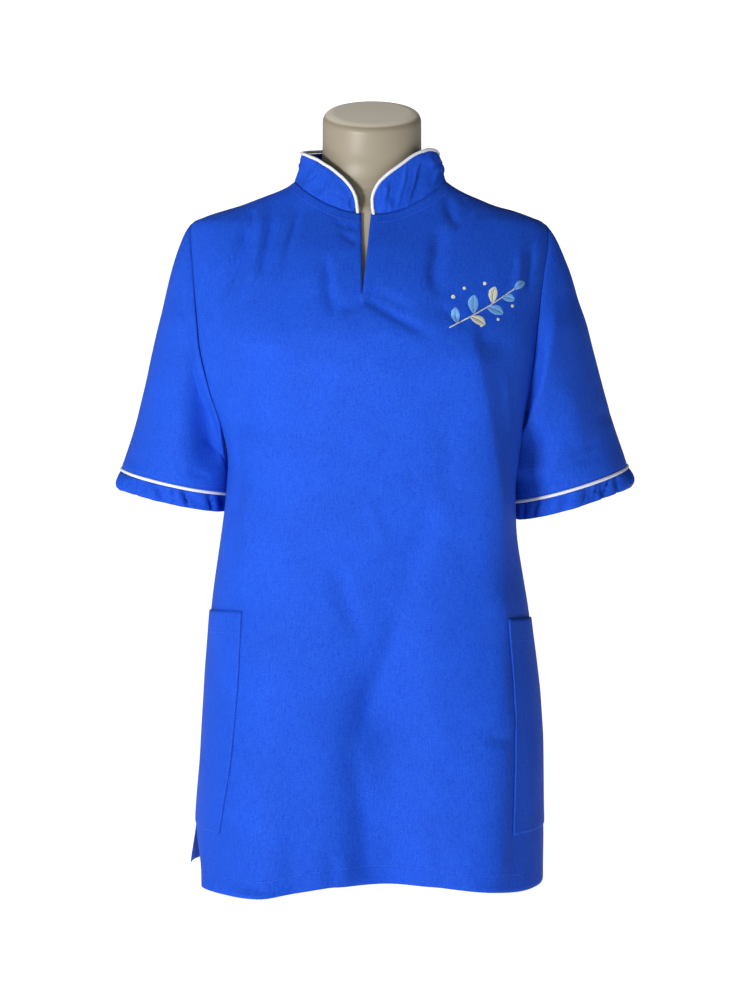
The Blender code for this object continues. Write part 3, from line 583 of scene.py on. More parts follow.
def ring_quads(rings: int, sides: int, closed: bool = False) -> np.ndarray:
    """Quads between rings of points, counted ring by ring.

    Args:
        rings: how many rings there are.
        sides: points in each ring.
        closed: whether the last ring joins the first.

    Returns:
        The four points of each quad.
    """
    ring = np.arange(rings if closed else rings - 1)[:, None]
    side = np.arange(sides)[None, :]
    over, ahead = (side + 1) % sides, (ring + 1) % rings
    corners = (ring * sides + side, ring * sides + over, ahead * sides + over, ahead * sides + side)
    return np.stack(corners, axis=-1).reshape(-1, 4)


def normals_of(points: np.ndarray, quads: np.ndarray) -> np.ndarray:
    """A unit normal at each point, from the quads round it.

    Args:
        points: points of the mesh.
        quads: the four points of each quad.

    Returns:
        The normals.
    """
    p = points[quads]
    flat = np.cross(p[:, 2] - p[:, 0], p[:, 3] - p[:, 1])
    normals = np.zeros_like(points)
    for k in range(4):
        np.add.at(normals, quads[:, k], flat)
    return unit(normals)


def srgb(code: str) -> tuple:
    """The linear colour of a six-figure sRGB code."""
    parts = [int(code[i : i + 2], 16) / 255 for i in (0, 2, 4)]
    return (*[c / 12.92 if c <= 0.04045 else ((c + 0.055) / 1.055) ** 2.4 for c in parts], 1.0)


def connect(node: bpy.types.Node, inputs: dict) -> None:
    """Sets the inputs of a node.

    Args:
        node: the node.
        inputs: values, or outputs to link, by the input's name or number.
    """
    for name, value in inputs.items():
        if isinstance(value, bpy.types.NodeSocket):
            node.id_data.links.new(value, node.inputs[name])
        else:
            node.inputs[name].default_value = value


def add_node(
    tree: bpy.types.NodeTree, kind: str, inputs: dict | None = None, **settings
) -> bpy.types.Node:
    """Adds a node to a material.

    Args:
        tree: the material's node tree.
        kind: the node's type.
        inputs: values, or outputs to link, by the input's name or number.
        settings: the node's own properties.

    Returns:
        The new node.
    """
    node = tree.nodes.new(kind)
    for name, value in settings.items():
        setattr(node, name, value)
    connect(node, inputs or {})
    return node


def new_material(name: str) -> tuple:
    """A material with its empty tree and its one surface shader.

    Args:
        name: what the material is.

    Returns:
        The material, its tree and its Principled shader.
    """
    material = bpy.data.materials.new(name)
    material.use_nodes = True
    tree = material.node_tree
    return material, tree, tree.nodes["Principled BSDF"]


@dataclass(frozen=True)
class PolyCotton:
    """Royal blue poly-cotton: a dense plain weave with a faint sheen."""

    name: str = "royal_blue_poly_cotton"
    colour: str = "1E51BD"
    shade: str = "0E3BB1"  # the darker thread colour; at random the threads go from it to the paler one, partly their own uneven tone, partly painted glints
    pick: float = 0.0008  # a thread and its gap; coarser than the real 0.4 mm so that it shows
    slub: float = 640.0  # thick places in the threads, 1.6 mm apart
    streak: float = 620.0  # drawn-out threads, 1.6 mm apart
    dye: float = 16.0  # paler and deeper patches, 60 mm apart
    specular: float = 0.08  # the dull face of a dense weave
    sheen: tuple = (0.04, 0.45, "7FA2FF")  # weight, roughness and tint of the fibre ends' light
    hem: float = -1.0  # how far from the cloth's lower edge its line of stitches is

    def material(self) -> bpy.types.Material:
        """Builds the weave, the random mix of darker and paler threads (partly painted glints) and the
        faintly uneven dye.

        Returns:
            The new material.
        """
        material, tree, shader = new_material(self.name)
        place = add_node(tree, "ShaderNodeTexCoord")
        flat, at = place.outputs["UV"], place.outputs["Object"]
        scale = WAVE_REPEAT / self.pick
        inputs = {"Vector": flat, "Scale": scale, "Distortion": 0.6}
        warp = add_node(tree, "ShaderNodeTexWave", inputs)
        inputs = {"Vector": flat, "Scale": scale * 0.94, "Distortion": 0.6}
        weft = add_node(tree, "ShaderNodeTexWave", inputs, bands_direction="Y")
        inputs = {0: warp.outputs["Fac"], 1: weft.outputs["Fac"]}
        weave = add_node(tree, "ShaderNodeMath", inputs, operation="MULTIPLY")
        slub = add_node(tree, "ShaderNodeTexNoise", {"Vector": at, "Scale": self.slub, "Detail": 3.0})
        pulled = add_node(tree, "ShaderNodeMapping", {"Vector": flat, "Scale": (1.0, 0.12, 1.0)})
        inputs = {"Vector": pulled.outputs[0], "Scale": self.streak, "Detail": 2.0}
        streak = add_node(tree, "ShaderNodeTexNoise", inputs)
        inputs = {0: slub.outputs["Fac"], 1: 0.6, 2: weave.outputs[0]}
        cloth = add_node(tree, "ShaderNodeMath", inputs, operation="MULTIPLY_ADD")
        inputs = {0: streak.outputs["Fac"], 1: 0.45, 2: slub.outputs["Fac"]}
        grain = add_node(tree, "ShaderNodeMath", inputs, operation="MULTIPLY_ADD")
        # Painted highlight in part: the paler, whiter thread colour stands partly for glints of light on the
        # fibres.
        share = add_node(tree, "ShaderNodeMapRange", {0: grain.outputs[0], 1: 0.50, 2: 0.95})
        inputs = {0: share.outputs[0], 6: srgb(self.shade), 7: srgb(self.colour)}
        thread = add_node(tree, "ShaderNodeMix", inputs, data_type="RGBA")
        dye = add_node(tree, "ShaderNodeTexNoise", {"Vector": at, "Scale": self.dye, "Detail": 4.0})
        inputs = {0: dye.outputs["Fac"], 1: 0.35, 2: 0.65, 3: 0.94, 4: 1.03}
        fade = add_node(tree, "ShaderNodeMapRange", inputs)
        inputs = {0: thread.outputs[2], "Scale": fade.outputs[0]}
        lit = add_node(tree, "ShaderNodeVectorMath", inputs, operation="SCALE")
        inputs = {0: slub.outputs["Fac"], 1: 0.3, 2: 0.7, 3: 0.62, 4: 0.74}
        rough = add_node(tree, "ShaderNodeMapRange", inputs)
        inputs = {"Height": cloth.outputs[0], "Strength": 0.45, "Distance": 0.00022}
        bump = add_node(tree, "ShaderNodeBump", inputs)
        if self.hem > 0:
            bump = self.groove(tree, flat, bump)
        weight, spread, tint = self.sheen
        inputs = {"Base Color": lit.outputs[0], "Roughness": rough.outputs[0], "Normal": bump.outputs[0]}
        inputs |= {"Specular IOR Level": self.specular, "Sheen Weight": weight}
        connect(shader, inputs | {"Sheen Roughness": spread, "Sheen Tint": srgb(tint)})
        return material

    def groove(
        self, tree: bpy.types.NodeTree, flat: bpy.types.NodeSocket, under: bpy.types.Node
    ) -> bpy.types.Node:
        """The pressed-in line, 3 mm wide, where a hem is sewn down.

        Args:
            tree: the material's node tree.
            flat: where each point lies on the flat cloth.
            under: the bump of the weave.

        Returns:
            The last bump node.
        """
        split = add_node(tree, "ShaderNodeSeparateXYZ", {0: flat})
        inputs = {0: split.outputs["Y"], 1: self.hem}
        off = add_node(tree, "ShaderNodeMath", inputs, operation="SUBTRACT")
        far = add_node(tree, "ShaderNodeMath", {0: off.outputs[0]}, operation="ABSOLUTE")
        inputs = {0: far.outputs[0], 1: 0.0, 2: 0.0016, 3: 0.0, 4: 1.0}
        dip = add_node(tree, "ShaderNodeMapRange", inputs, interpolation_type="SMOOTHSTEP")
        inputs = {"Height": dip.outputs[0], "Strength": 0.40, "Distance": 0.0004}
        return add_node(tree, "ShaderNodeBump", inputs | {"Normal": under.outputs[0]})


@dataclass(frozen=True)
class BiasCloth:
    """White bias piping: the diagonal of a fine weave, pulled tight round a cord."""

    name: str = "white_bias_piping"
    colour: str = "D9DBE0"
    soiled: str = "C9CCD6"
    twill: float = 300.0  # bands 1 mm apart; coarser than the real 0.4 mm so that they show
    soil: float = 60.0  # greyer patches, 17 mm apart
    rough: float = 0.6

    def material(self) -> bpy.types.Material:
        """Builds the slanted weave.

        Returns:
            The new material.
        """
        material, tree, shader = new_material(self.name)
        place = add_node(tree, "ShaderNodeTexCoord")
        flat, at = place.outputs["UV"], place.outputs["Object"]
        inputs = {"Vector": flat, "Scale": self.twill, "Distortion": 0.8}
        twill = add_node(tree, "ShaderNodeTexWave", inputs, bands_direction="DIAGONAL")
        soil = add_node(tree, "ShaderNodeTexNoise", {"Vector": at, "Scale": self.soil})
        inputs = {0: soil.outputs["Fac"], 6: srgb(self.colour), 7: srgb(self.soiled)}
        tint = add_node(tree, "ShaderNodeMix", inputs, data_type="RGBA")
        inputs = {"Height": twill.outputs["Fac"], "Strength": 0.4, "Distance": 0.0002}
        bump = add_node(tree, "ShaderNodeBump", inputs)
        inputs = {"Base Color": tint.outputs[2], "Normal": bump.outputs[0], "Roughness": self.rough}
        connect(shader, inputs)
        return material


@dataclass(frozen=True)
class Thread:
    """Twisted polyester thread, with a little more gloss than the cloth."""

    name: str
    colour: str
    rough: float = 0.42
    twist: float = 900.0  # turns of the thread, 1.1 mm apart
    specular: float = 0.25

    def material(self) -> bpy.types.Material:
        """Builds the twist of the thread.

        Returns:
            The new material.
        """
        material, tree, shader = new_material(self.name)
        at = add_node(tree, "ShaderNodeTexCoord").outputs["Object"]
        twist = add_node(tree, "ShaderNodeTexNoise", {"Vector": at, "Scale": self.twist, "Detail": 1.0})
        inputs = {0: twist.outputs["Fac"], 1: 0.3, 2: 0.7, 3: 0.88, 4: 1.06}
        tone = add_node(tree, "ShaderNodeMapRange", inputs)
        inputs = {0: srgb(self.colour)[:3], "Scale": tone.outputs[0]}
        lit = add_node(tree, "ShaderNodeVectorMath", inputs, operation="SCALE")
        inputs = {"Height": twist.outputs["Fac"], "Strength": 0.3, "Distance": 0.0001}
        bump = add_node(tree, "ShaderNodeBump", inputs)
        inputs = {"Base Color": lit.outputs[0], "Normal": bump.outputs[0]}
        connect(shader, inputs | {"Roughness": self.rough, "Specular IOR Level": self.specular})
        return material


@dataclass(frozen=True)
class FormShell:
    """The form's painted glass-fibre shell: beige, satin, rubbed smoother in places."""

    name: str = "beige_glass_fibre"
    colour: str = "8A8170"
    deeper: str = "847B69"
    top: str = "F6EDDA"  # painted light: paler on what faces up, standing in for light from above that the lamp and the surround barely give
    cloud: float = 14.0  # patches of colour and gloss, 70 mm apart
    peel: float = 260.0  # the paint's orange peel, 4 mm apart
    specular: float = 0.35

    def material(self) -> bpy.types.Material:
        """Builds the paint, its faint orange peel, its uneven gloss and a painted light on what faces up.

        Returns:
            The new material.
        """
        material, tree, shader = new_material(self.name)
        place = add_node(tree, "ShaderNodeTexCoord")
        at = place.outputs["Object"]
        cloud = add_node(tree, "ShaderNodeTexNoise", {"Vector": at, "Scale": self.cloud, "Detail": 3.0})
        inputs = {0: cloud.outputs["Fac"], 6: srgb(self.colour), 7: srgb(self.deeper)}
        tint = add_node(tree, "ShaderNodeMix", inputs, data_type="RGBA")
        # Painted light: the more a point faces up, the more its colour goes to the paler top colour.
        facing = add_node(tree, "ShaderNodeSeparateXYZ", {0: place.outputs["Normal"]})
        inputs = {0: facing.outputs["Z"], 1: 0.55, 2: 0.97, 3: 0.0, 4: 1.0}
        upward = add_node(tree, "ShaderNodeMapRange", inputs)
        inputs = {0: upward.outputs[0], 6: tint.outputs[2], 7: srgb(self.top)}
        painted_top_light = add_node(tree, "ShaderNodeMix", inputs, data_type="RGBA")
        inputs = {0: cloud.outputs["Fac"], 1: 0.3, 2: 0.7, 3: 0.36, 4: 0.50}
        gloss = add_node(tree, "ShaderNodeMapRange", inputs)
        peel = add_node(tree, "ShaderNodeTexNoise", {"Vector": at, "Scale": self.peel})
        inputs = {"Height": peel.outputs["Fac"], "Strength": 0.12, "Distance": 0.0002}
        bump = add_node(tree, "ShaderNodeBump", inputs)
        inputs = {"Base Color": painted_top_light.outputs[2], "Roughness": gloss.outputs[0]}
        connect(shader, inputs | {"Normal": bump.outputs[0], "Specular IOR Level": self.specular})
        return material


@dataclass(frozen=True)
class FootPlastic:
    """The plain dark plastic of the form's foot, scuffed by the shelf."""

    name: str = "dark_foot_plastic"
    colour: str = "1E1E20"
    scuffed: str = "34343A"
    scuff: float = 90.0  # scuffs, 11 mm apart

    def material(self) -> bpy.types.Material:
        """Builds the scuffs.

        Returns:
            The new material.
        """
        material, tree, shader = new_material(self.name)
        at = add_node(tree, "ShaderNodeTexCoord").outputs["Object"]
        scuff = add_node(tree, "ShaderNodeTexNoise", {"Vector": at, "Scale": self.scuff, "Detail": 5.0})
        inputs = {0: scuff.outputs["Fac"], 6: srgb(self.colour), 7: srgb(self.scuffed)}
        tint = add_node(tree, "ShaderNodeMix", inputs, data_type="RGBA")
        inputs = {0: scuff.outputs["Fac"], 1: 0.3, 2: 0.7, 3: 0.45, 4: 0.65}
        gloss = add_node(tree, "ShaderNodeMapRange", inputs)
        connect(shader, {"Base Color": tint.outputs[2], "Roughness": gloss.outputs[0]})
        return material


def add_mesh(
    name: str, points: np.ndarray, faces: list, finish: bpy.types.Material, uv: np.ndarray | None = None
) -> bpy.types.Object:
    """A smooth-shaded mesh of the object, lifted as the solids are.

    Args:
        name: the piece's name.
        points: its points, without the lift.
        faces: its faces.
        finish: its material.
        uv: where each point lies on the flat cloth, in metres.

    Returns:
        The new object.
    """
    mesh = bpy.data.meshes.new(name)
    lifted = np.asarray(points, float) + np.array([0, 0, LIFT])
    mesh.from_pydata(lifted.tolist(), [], [tuple(int(i) for i in f) for f in faces])
    if uv is not None:
        layer = mesh.uv_layers.new(name="cloth")
        index = np.empty(len(mesh.loops), dtype=np.int32)
        mesh.loops.foreach_get("vertex_index", index)
        layer.uv.foreach_set("vector", uv[index].astype(np.float32).ravel())
    mesh.polygons.foreach_set("use_smooth", [True] * len(mesh.polygons))
    mesh.update()
    mesh.materials.append(finish)
    made = bpy.data.objects.new(name, mesh)
    bpy.context.scene.collection.objects.link(made)
    return made


def add_cloth(
    name: str,
    points: np.ndarray,
    quads: np.ndarray,
    finish: bpy.types.Material,
    uv: np.ndarray,
    normals: np.ndarray | None = None,
    wall: float = WALL,
) -> bpy.types.Object:
    """A closed thin shell: the points moved out and in by half the wall, with rims.

    Args:
        name: the piece's name.
        points: the middle of the cloth.
        quads: its faces, seen from outside.
        finish: its material.
        uv: where each point lies on the flat cloth.
        normals: its outward normals, if they are known.
        wall: its thickness.

    Returns:
        The new object.
    """
    if normals is None:
        normals = normals_of(points, quads)
    count = len(points)
    edges = np.concatenate([quads[:, [k, (k + 1) % 4]] for k in range(4)])
    key = edges[:, 0].astype(np.int64) * count + edges[:, 1]
    back = edges[:, 1].astype(np.int64) * count + edges[:, 0]
    rim = edges[~np.isin(back, key)]
    border = np.zeros(count, bool)
    border[rim.ravel()] = True
    half = np.where(border, wall * 0.30, wall / 2)[:, None]
    both = np.concatenate([points + normals * half, points - normals * half])
    rims = np.stack([rim[:, 1], rim[:, 0], rim[:, 0] + count, rim[:, 1] + count], axis=1)
    faces = np.concatenate([quads, quads[:, ::-1] + count, rims])
    return add_mesh(name, both, faces, finish, np.concatenate([uv, uv]))


def grid_uv(grid: np.ndarray) -> np.ndarray:
    """Where each point of a grid of cloth lies when the cloth is flat.

    Args:
        grid: points by row, from the lower edge up, and by column.

    Returns:
        Two lengths for each point: across from the middle, and up from the lower edge.
    """
    up = np.linalg.norm(np.diff(grid, axis=0), axis=2)
    up = np.concatenate([np.zeros((1, grid.shape[1])), np.cumsum(up, axis=0)])
    across = np.linalg.norm(np.diff(grid, axis=1), axis=2).mean(axis=0)
    across = np.concatenate([[0], np.cumsum(across)])
    across = across - across[len(across) // 2]
    return np.stack([np.broadcast_to(across, up.shape), up], axis=-1)


def cord_rings(path: np.ndarray, radius: float, sides: int, closed: bool) -> np.ndarray:
    """Rings of points round a path.

    Args:
        path: the middle of the cord.
        radius: how thick it is.
        sides: points in each ring.
        closed: whether its two ends meet.

    Returns:
        Points by ring and by their place in it.
    """
    around = np.roll(path, -1, axis=0) - np.roll(path, 1, axis=0)
    ahead = unit(around if closed else np.gradient(path, axis=0))
    out = path - path.mean(axis=0)
    out = unit(out - ahead * (out * ahead).sum(axis=1)[:, None])
    across = np.cross(ahead, out)
    turn = 2 * math.pi * np.arange(sides) / sides
    spread = np.cos(turn)[None, :, None] * out[:, None] + np.sin(turn)[None, :, None] * across[:, None]
    wobble = np.array([1 + 0.05 * noise.noise(Vector(p) * 120) for p in path])
    return path[:, None] + radius * wobble[:, None, None] * spread


def add_cord(
    name: str,
    path: np.ndarray,
    radius: float,
    finish: bpy.types.Material,
    closed: bool = False,
    sides: int = 12,
) -> bpy.types.Object:
    """A round piping along a path.

    Args:
        name: the piece's name.
        path: the middle of the piping.
        radius: how thick it is.
        finish: its material.
        closed: whether its two ends meet.
        sides: points round it.

    Returns:
        The new object.
    """
    rings = cord_rings(path, radius, sides, closed)
    if not closed:
        tips = [path[0] + (rings[0] - path[0]) * 0.55, path[-1] + (rings[-1] - path[-1]) * 0.55]
        way = unit(np.gradient(path, axis=0)) * radius * 0.7
        rings = np.concatenate([[tips[0] - way[0]], rings, [tips[1] + way[-1]]])
    count = len(rings)
    run = run_of(rings[:, 0])
    faces = ring_quads(count, sides, closed).tolist()
    if not closed:
        faces += [range(sides)[::-1], range((count - 1) * sides, count * sides)]
    girth = np.linspace(0, 2 * math.pi * radius, sides)
    uv = np.stack(np.broadcast_arrays(girth[None, :], run[:, None]), -1)
    return add_mesh(name, rings.reshape(-1, 3), faces, finish, uv.reshape(-1, 2))


@dataclass
class Panel:
    """The front or back of the tunic, as a fine grid, with the neck slit cut in."""

    face: Face
    creases: tuple
    neck_columns: int = 40
    shoulder_columns: int = 52
    low_rows: int = 124
    high_rows: int = 64
    seam: float = 0.00012  # half of the gap to the other panel
    held: float = 0.12  # how far the left side's vent opens, as a share of the right one's
    grid: np.ndarray = field(init=False)
    points: np.ndarray = field(init=False)
    normals: np.ndarray = field(init=False)
    quads: np.ndarray = field(init=False)
    shares: np.ndarray = field(init=False)

    def __post_init__(self) -> None:
        """Works out the grid, cuts the slit and lays the folds."""
        outer = np.linspace(NECK_SHARE, 1, self.shoulder_columns)[1:]
        outer = np.insert(outer, len(outer) - 1, 0.996)
        self.shares = np.concatenate([np.linspace(0, NECK_SHARE, self.neck_columns), outer])
        self.middle = len(self.shares) - 1
        self.columns = 2 * self.middle + 1
        right = self.vent(self.half(Side.RIGHT))
        left = self.vent(self.half(Side.LEFT))
        self.rows = len(left)
        self.grid = np.concatenate([right[:, ::-1], left[:, 1:]], axis=1)
        points = self.grid.reshape(-1, 3)
        quads = grid_quads(self.rows, self.columns)
        if self.face == Face.BACK:
            quads = quads[:, ::-1]
        else:
            points, quads = self.cut_slit(points, quads, left)
        normals = normals_of(points, quads)
        share = np.concatenate([self.shares[::-1], self.shares[1:]])
        share = np.tile(share, self.rows)
        share = np.concatenate([share, np.zeros(len(points) - len(share))])
        edge = 1 - ease(share, 0.90, 1.0)
        move = shaped(points, normals, self.face, self.creases) * edge
        self.points = points + normals * move[:, None]
        self.quads = quads
        self.normals = normals_of(self.points, quads)

    def hem_height(self, x: np.ndarray) -> np.ndarray:
        """Height of the hem: lowest at the two front lobes and highest between them.

        Args:
            x: X of the points.

        Returns:
            The hem's height there.
        """
        if self.face == Face.BACK:
            return 0.0125 - 0.003 * np.exp(-((x / 0.09) ** 2))
        return smooth(x, HEM["x"], HEM["z"])

    def slit_shift(self, side: Side, z: np.ndarray, share: np.ndarray) -> np.ndarray:
        """Moves the middle columns over to the neck slit, and opens it above its tip.

        Args:
            side: which half.
            z: heights of the points.
            share: their shares of the half.

        Returns:
            How far each point moves in X.
        """
        open_by = SLIT_OPEN[side] * np.clip((z - SLIT_TIP) / (NECK_FRONT - SLIT_TIP), 0, 1)
        near = np.clip(1 - share / NECK_SHARE, 0, 1) ** 1.5
        return (SLIT_X * ease(z, 0.42, 0.60) + open_by) * near

    def lower(self, side: Side) -> np.ndarray:
        """Rows from the hem up to the underarm on one side.

        Args:
            side: which half.

        Returns:
            Points by row, from the hem up, and by column, from the middle out.
        """
        angle = self.shares * math.pi / 2
        rows = []
        for level in np.linspace(0, UNDERARM, self.low_rows):
            x = Section.unit_x(angle, level, self.face) * Section.half_width(side, level) * side
            z = level + self.hem_height(x) * (1 - ease(level, 0.0, 0.10))
            x = Section.unit_x(angle, z, self.face) * Section.half_width(side, z) * side
            x = x + self.slit_shift(side, z, self.shares)
            rows.append(np.stack([x, Section.depth(x, z, self.face, side), z], axis=-1))
        return np.array(rows)

    def armhole_x(self, side: Side, rise: np.ndarray) -> np.ndarray:
        """X of the armhole's edge at a share of its height.

        Args:
            side: which half.
            rise: share of the armhole's height.

        Returns:
            How far out the edge is.
        """
        z = UNDERARM + (SHOULDER_TIP - UNDERARM) * rise
        reach = (0.40 if self.face == Face.FRONT else 0.42) * 2 * np.sqrt(rise * (1 - rise))
        n = Section.square(self.face, z)
        return Section.half_width(side, z) * (1 - reach**n) ** (1 / n)

    def top_edge(self, side: Side) -> tuple:
        """X and Z of the panel's top edge: the neckline, then the shoulder seam.

        Args:
            side: which half.

        Returns:
            How far out and how high the top of each column is.
        """
        neck = Section.half_width(side, NECK_SIDE)
        tip = Section.half_width(side, SHOULDER_TIP)
        turn = np.clip(self.shares / NECK_SHARE, 0, 1)
        x = neck * np.sin(turn * math.pi / 2)
        if self.face == Face.FRONT:
            moved = np.abs(x * side + self.slit_shift(side, np.full_like(x, NECK_FRONT), self.shares)) / neck
            z = np.minimum(NECK_FRONT + (NECK_SIDE - NECK_FRONT) * moved**2, NECK_SIDE)
        else:
            z = NECK_BACK + (NECK_SIDE - NECK_BACK) * turn**4
        heights = np.linspace(SHOULDER_TIP, NECK_SIDE, 300)
        out = np.clip((self.shares - NECK_SHARE) / (1 - NECK_SHARE), 0, 1)
        seam_x = neck + (tip - neck) * out
        seam_z = np.interp(-seam_x, -Section.half_width(side, heights), heights)
        on_seam = self.shares > NECK_SHARE
        return np.where(on_seam, seam_x, x), np.where(on_seam, seam_z, z)

    def upper(self, side: Side) -> np.ndarray:
        """Each column from the underarm up to the neckline or shoulder, in fine steps.

        Args:
            side: which half.

        Returns:
            Points by step, from the underarm up, and by column, from the middle out.
        """
        rise = (1 - np.cos(np.linspace(0, math.pi, 241))) / 2
        w, s = rise[:, None], self.shares[None, :]
        x_low = Section.unit_x(self.shares * math.pi / 2, UNDERARM, self.face)
        x_low = x_low * Section.half_width(side, UNDERARM)
        x_top, z_top = self.top_edge(side)
        straight = x_low[-1] * (1 - w) + x_top[-1] * w
        x = x_low * (1 - w) + x_top * w + s * (self.armhole_x(side, w) - straight)
        z = UNDERARM * (1 - w) + z_top * w
        x = np.minimum(x, Section.half_width(side, z)) * side
        x = x + self.slit_shift(side, z, s)
        return np.stack([x, Section.depth(x, z, self.face, side), z], axis=-1)

    def half(self, side: Side) -> np.ndarray:
        """All rows of one half, from the middle column out to the side seam.

        Args:
            side: which half.

        Returns:
            Points by row, from the hem up, and by column, from the middle out.
        """
        middle = self.upper(Side.RIGHT)[:, 0]
        run = run_of(middle)
        at = np.linspace(0, 1, self.high_rows)
        if self.face == Face.FRONT:
            tip = np.interp(SLIT_TIP, middle[:, 2], run / run[-1])
            low = int(round(tip * (self.high_rows - 1)))
            above = np.linspace(tip, 1, self.high_rows - low)
            at = np.concatenate([np.linspace(0, tip, low + 1), above[1:]])
        path = self.upper(side)
        high = np.empty((len(at), path.shape[1], 3))
        for c in range(path.shape[1]):
            high[:, c] = resample(path[:, c], run_of(path[:, c])[-1] * at)
        rows = np.concatenate([self.lower(side), high[1:]])
        rows[..., 1] += self.face * self.seam
        return rows

    def vent(self, rows: np.ndarray) -> np.ndarray:
        """Lets the edges of the side vents hang apart near the hem.

        Args:
            rows: points of one half.

        Returns:
            The points with the vent's edge moved.
        """
        x, z = rows[..., 0], rows[..., 2]
        share = np.broadcast_to(self.shares, x.shape)
        side = np.sign(x)
        wide = np.where(side < 0, 1.0, self.held)
        out = rows.copy()
        if self.face == Face.FRONT:
            near = ease(share, 0.60, 0.97) * (1 - ease(z, -0.010, 0.068))
            low = ease(share, 0.74, 1.0) * (1 - ease(z, 0.014, 0.034))
            out[..., 0] -= side * (0.0190 * near + 0.0050 * low) * wide
            out[..., 1] -= 0.026 * near * wide
        else:
            near = ease(share, 0.74, 1.0) * (1 - ease(z, -0.002, 0.072))
            out[..., 0] += side * 0.0060 * near * (wide - self.held)
            out[..., 1] += 0.010 * near
        return out

    def cut_slit(self, points: np.ndarray, quads: np.ndarray, left: np.ndarray) -> tuple:
        """Gives the rows above the slit's tip a second middle point for its left edge.

        Args:
            points: points of the panel.
            quads: its quads.
            left: points of its left half, by row and column.

        Returns:
            The points with the second ones at their end, and the quads.
        """
        self.tip = int(np.argmin(np.abs(left[:, 0, 2] - SLIT_TIP)))
        rows = np.arange(self.tip + 1, self.rows)
        second = dict(zip(rows * self.columns + self.middle, len(points) + np.arange(len(rows))))
        quads = quads.copy()
        column = np.arange(len(quads)) % (self.columns - 1)
        for i in np.flatnonzero(column == self.middle):
            quads[i] = [second.get(v, v) for v in quads[i]]
        return np.concatenate([points, left[rows, 0]]), quads

    def uv(self) -> np.ndarray:
        """Where each point lies on the flat panel.

        Returns:
            The flat places, in metres.
        """
        flat = grid_uv(self.grid).reshape(-1, 2)
        extra = len(self.points) - len(flat)
        if extra == 0:
            return flat
        return np.concatenate([flat, flat[np.arange(self.tip + 1, self.rows) * self.columns + self.middle]])

    def armhole(self, side: Side) -> tuple:
        """Points and normals of the edge from the underarm up to the shoulder tip.

        Args:
            side: which half.

        Returns:
            The edge's points and their normals.
        """
        column = self.columns - 1 if side == Side.LEFT else 0
        index = np.arange(self.low_rows - 1, self.rows) * self.columns + column
        return self.points[index], self.normals[index]

    def block(self, side: Side, low: float, high: tuple, start: tuple, end: float = 0.9356) -> tuple:
        """Points and normals of a patch of one half, up to the underarm at most.

        Args:
            side: which half.
            low: level of its lower edge.
            high: levels of its upper edge, at its inner and outer corner.
            start: shares of the half where it begins, below and above, and how far this
                edge bows towards the middle between them.
            end: share of the half where it ends.

        Returns:
            Points and normals, by row from the lowest and by column from the right.
        """
        step = UNDERARM / (self.low_rows - 1)
        up = np.linspace(0, 1, int(round((max(high) - low) / step)) + 1)[:, None]
        over = np.linspace(0, 1, 32)[None, :]
        first = start[0] + (start[1] - start[0]) * up - start[2] * np.sin(math.pi * up)
        column = np.interp(first + (end - first) * over, self.shares, np.arange(self.middle + 1))
        row = (low + (high[0] + (high[1] - high[0]) * over - low) * up) / step
        row_0, column_0 = row.astype(int), np.minimum(column.astype(int), self.middle - 1)
        row_1, column_1 = (row - row_0)[..., None], (column - column_0)[..., None]
        near = row_0 * self.columns + self.middle + int(side) * column_0
        read = []
        for values in (self.points, self.normals):
            below = values[near] * (1 - column_1) + values[near + int(side)] * column_1
            above = near + self.columns
            above = values[above] * (1 - column_1) + values[above + int(side)] * column_1
            read.append(below * (1 - row_1) + above * row_1)
        order = slice(None) if side == Side.LEFT else slice(None, None, -1)
        return read[0][:, order], unit(read[1])[:, order]


@dataclass
class Sewing:
    """Lines of stitches, each a short thread that dips into the cloth at its ends."""

    thread: bpy.types.Material
    long: float = 0.0023
    gap: float = 0.0008
    thick: float = 0.00028

    def line(self, name: str, path: np.ndarray, normals: np.ndarray) -> bpy.types.Object:
        """One row of stitches.

        Args:
            name: the piece's name.
            path: the line on the cloth's outside.
            normals: the cloth's outward normals along it.

        Returns:
            The new object.
        """
        run = run_of(path)
        starts = np.arange(0.0, run[-1] - self.long, self.long + self.gap)
        up = unit(resample(np.concatenate([path, normals], axis=1), starts + self.long / 2)[:, 3:])
        sides, rings = 6, (0.0, 0.16, 0.5, 0.84, 1.0)
        height, girth = (-0.5, 0.55, 0.95, 0.55, -0.5), (0.35, 0.9, 1.0, 0.9, 0.35)
        turn = 2 * math.pi * np.arange(sides) / sides
        cos, sin = np.cos(turn)[None, :, None], np.sin(turn)[None, :, None]
        first, last = resample(path, starts), resample(path, starts + self.long)
        ahead = unit(last - first)
        across = unit(np.cross(ahead, up))
        points = []
        for share, rise, round_ in zip(rings, height, girth):
            middle = first * (1 - share) + last * share + up * self.thick * rise
            spread = cos * across[:, None] + sin * up[:, None]
            points.append(middle[:, None] + self.thick * round_ * spread)
        points = np.stack(points, axis=1)
        first_of = len(rings) * sides * np.arange(len(starts))
        faces = ring_quads(len(rings), sides)[None] + first_of[:, None, None]
        return add_mesh(name, points.reshape(-1, 3), faces.reshape(-1, 4), self.thread)


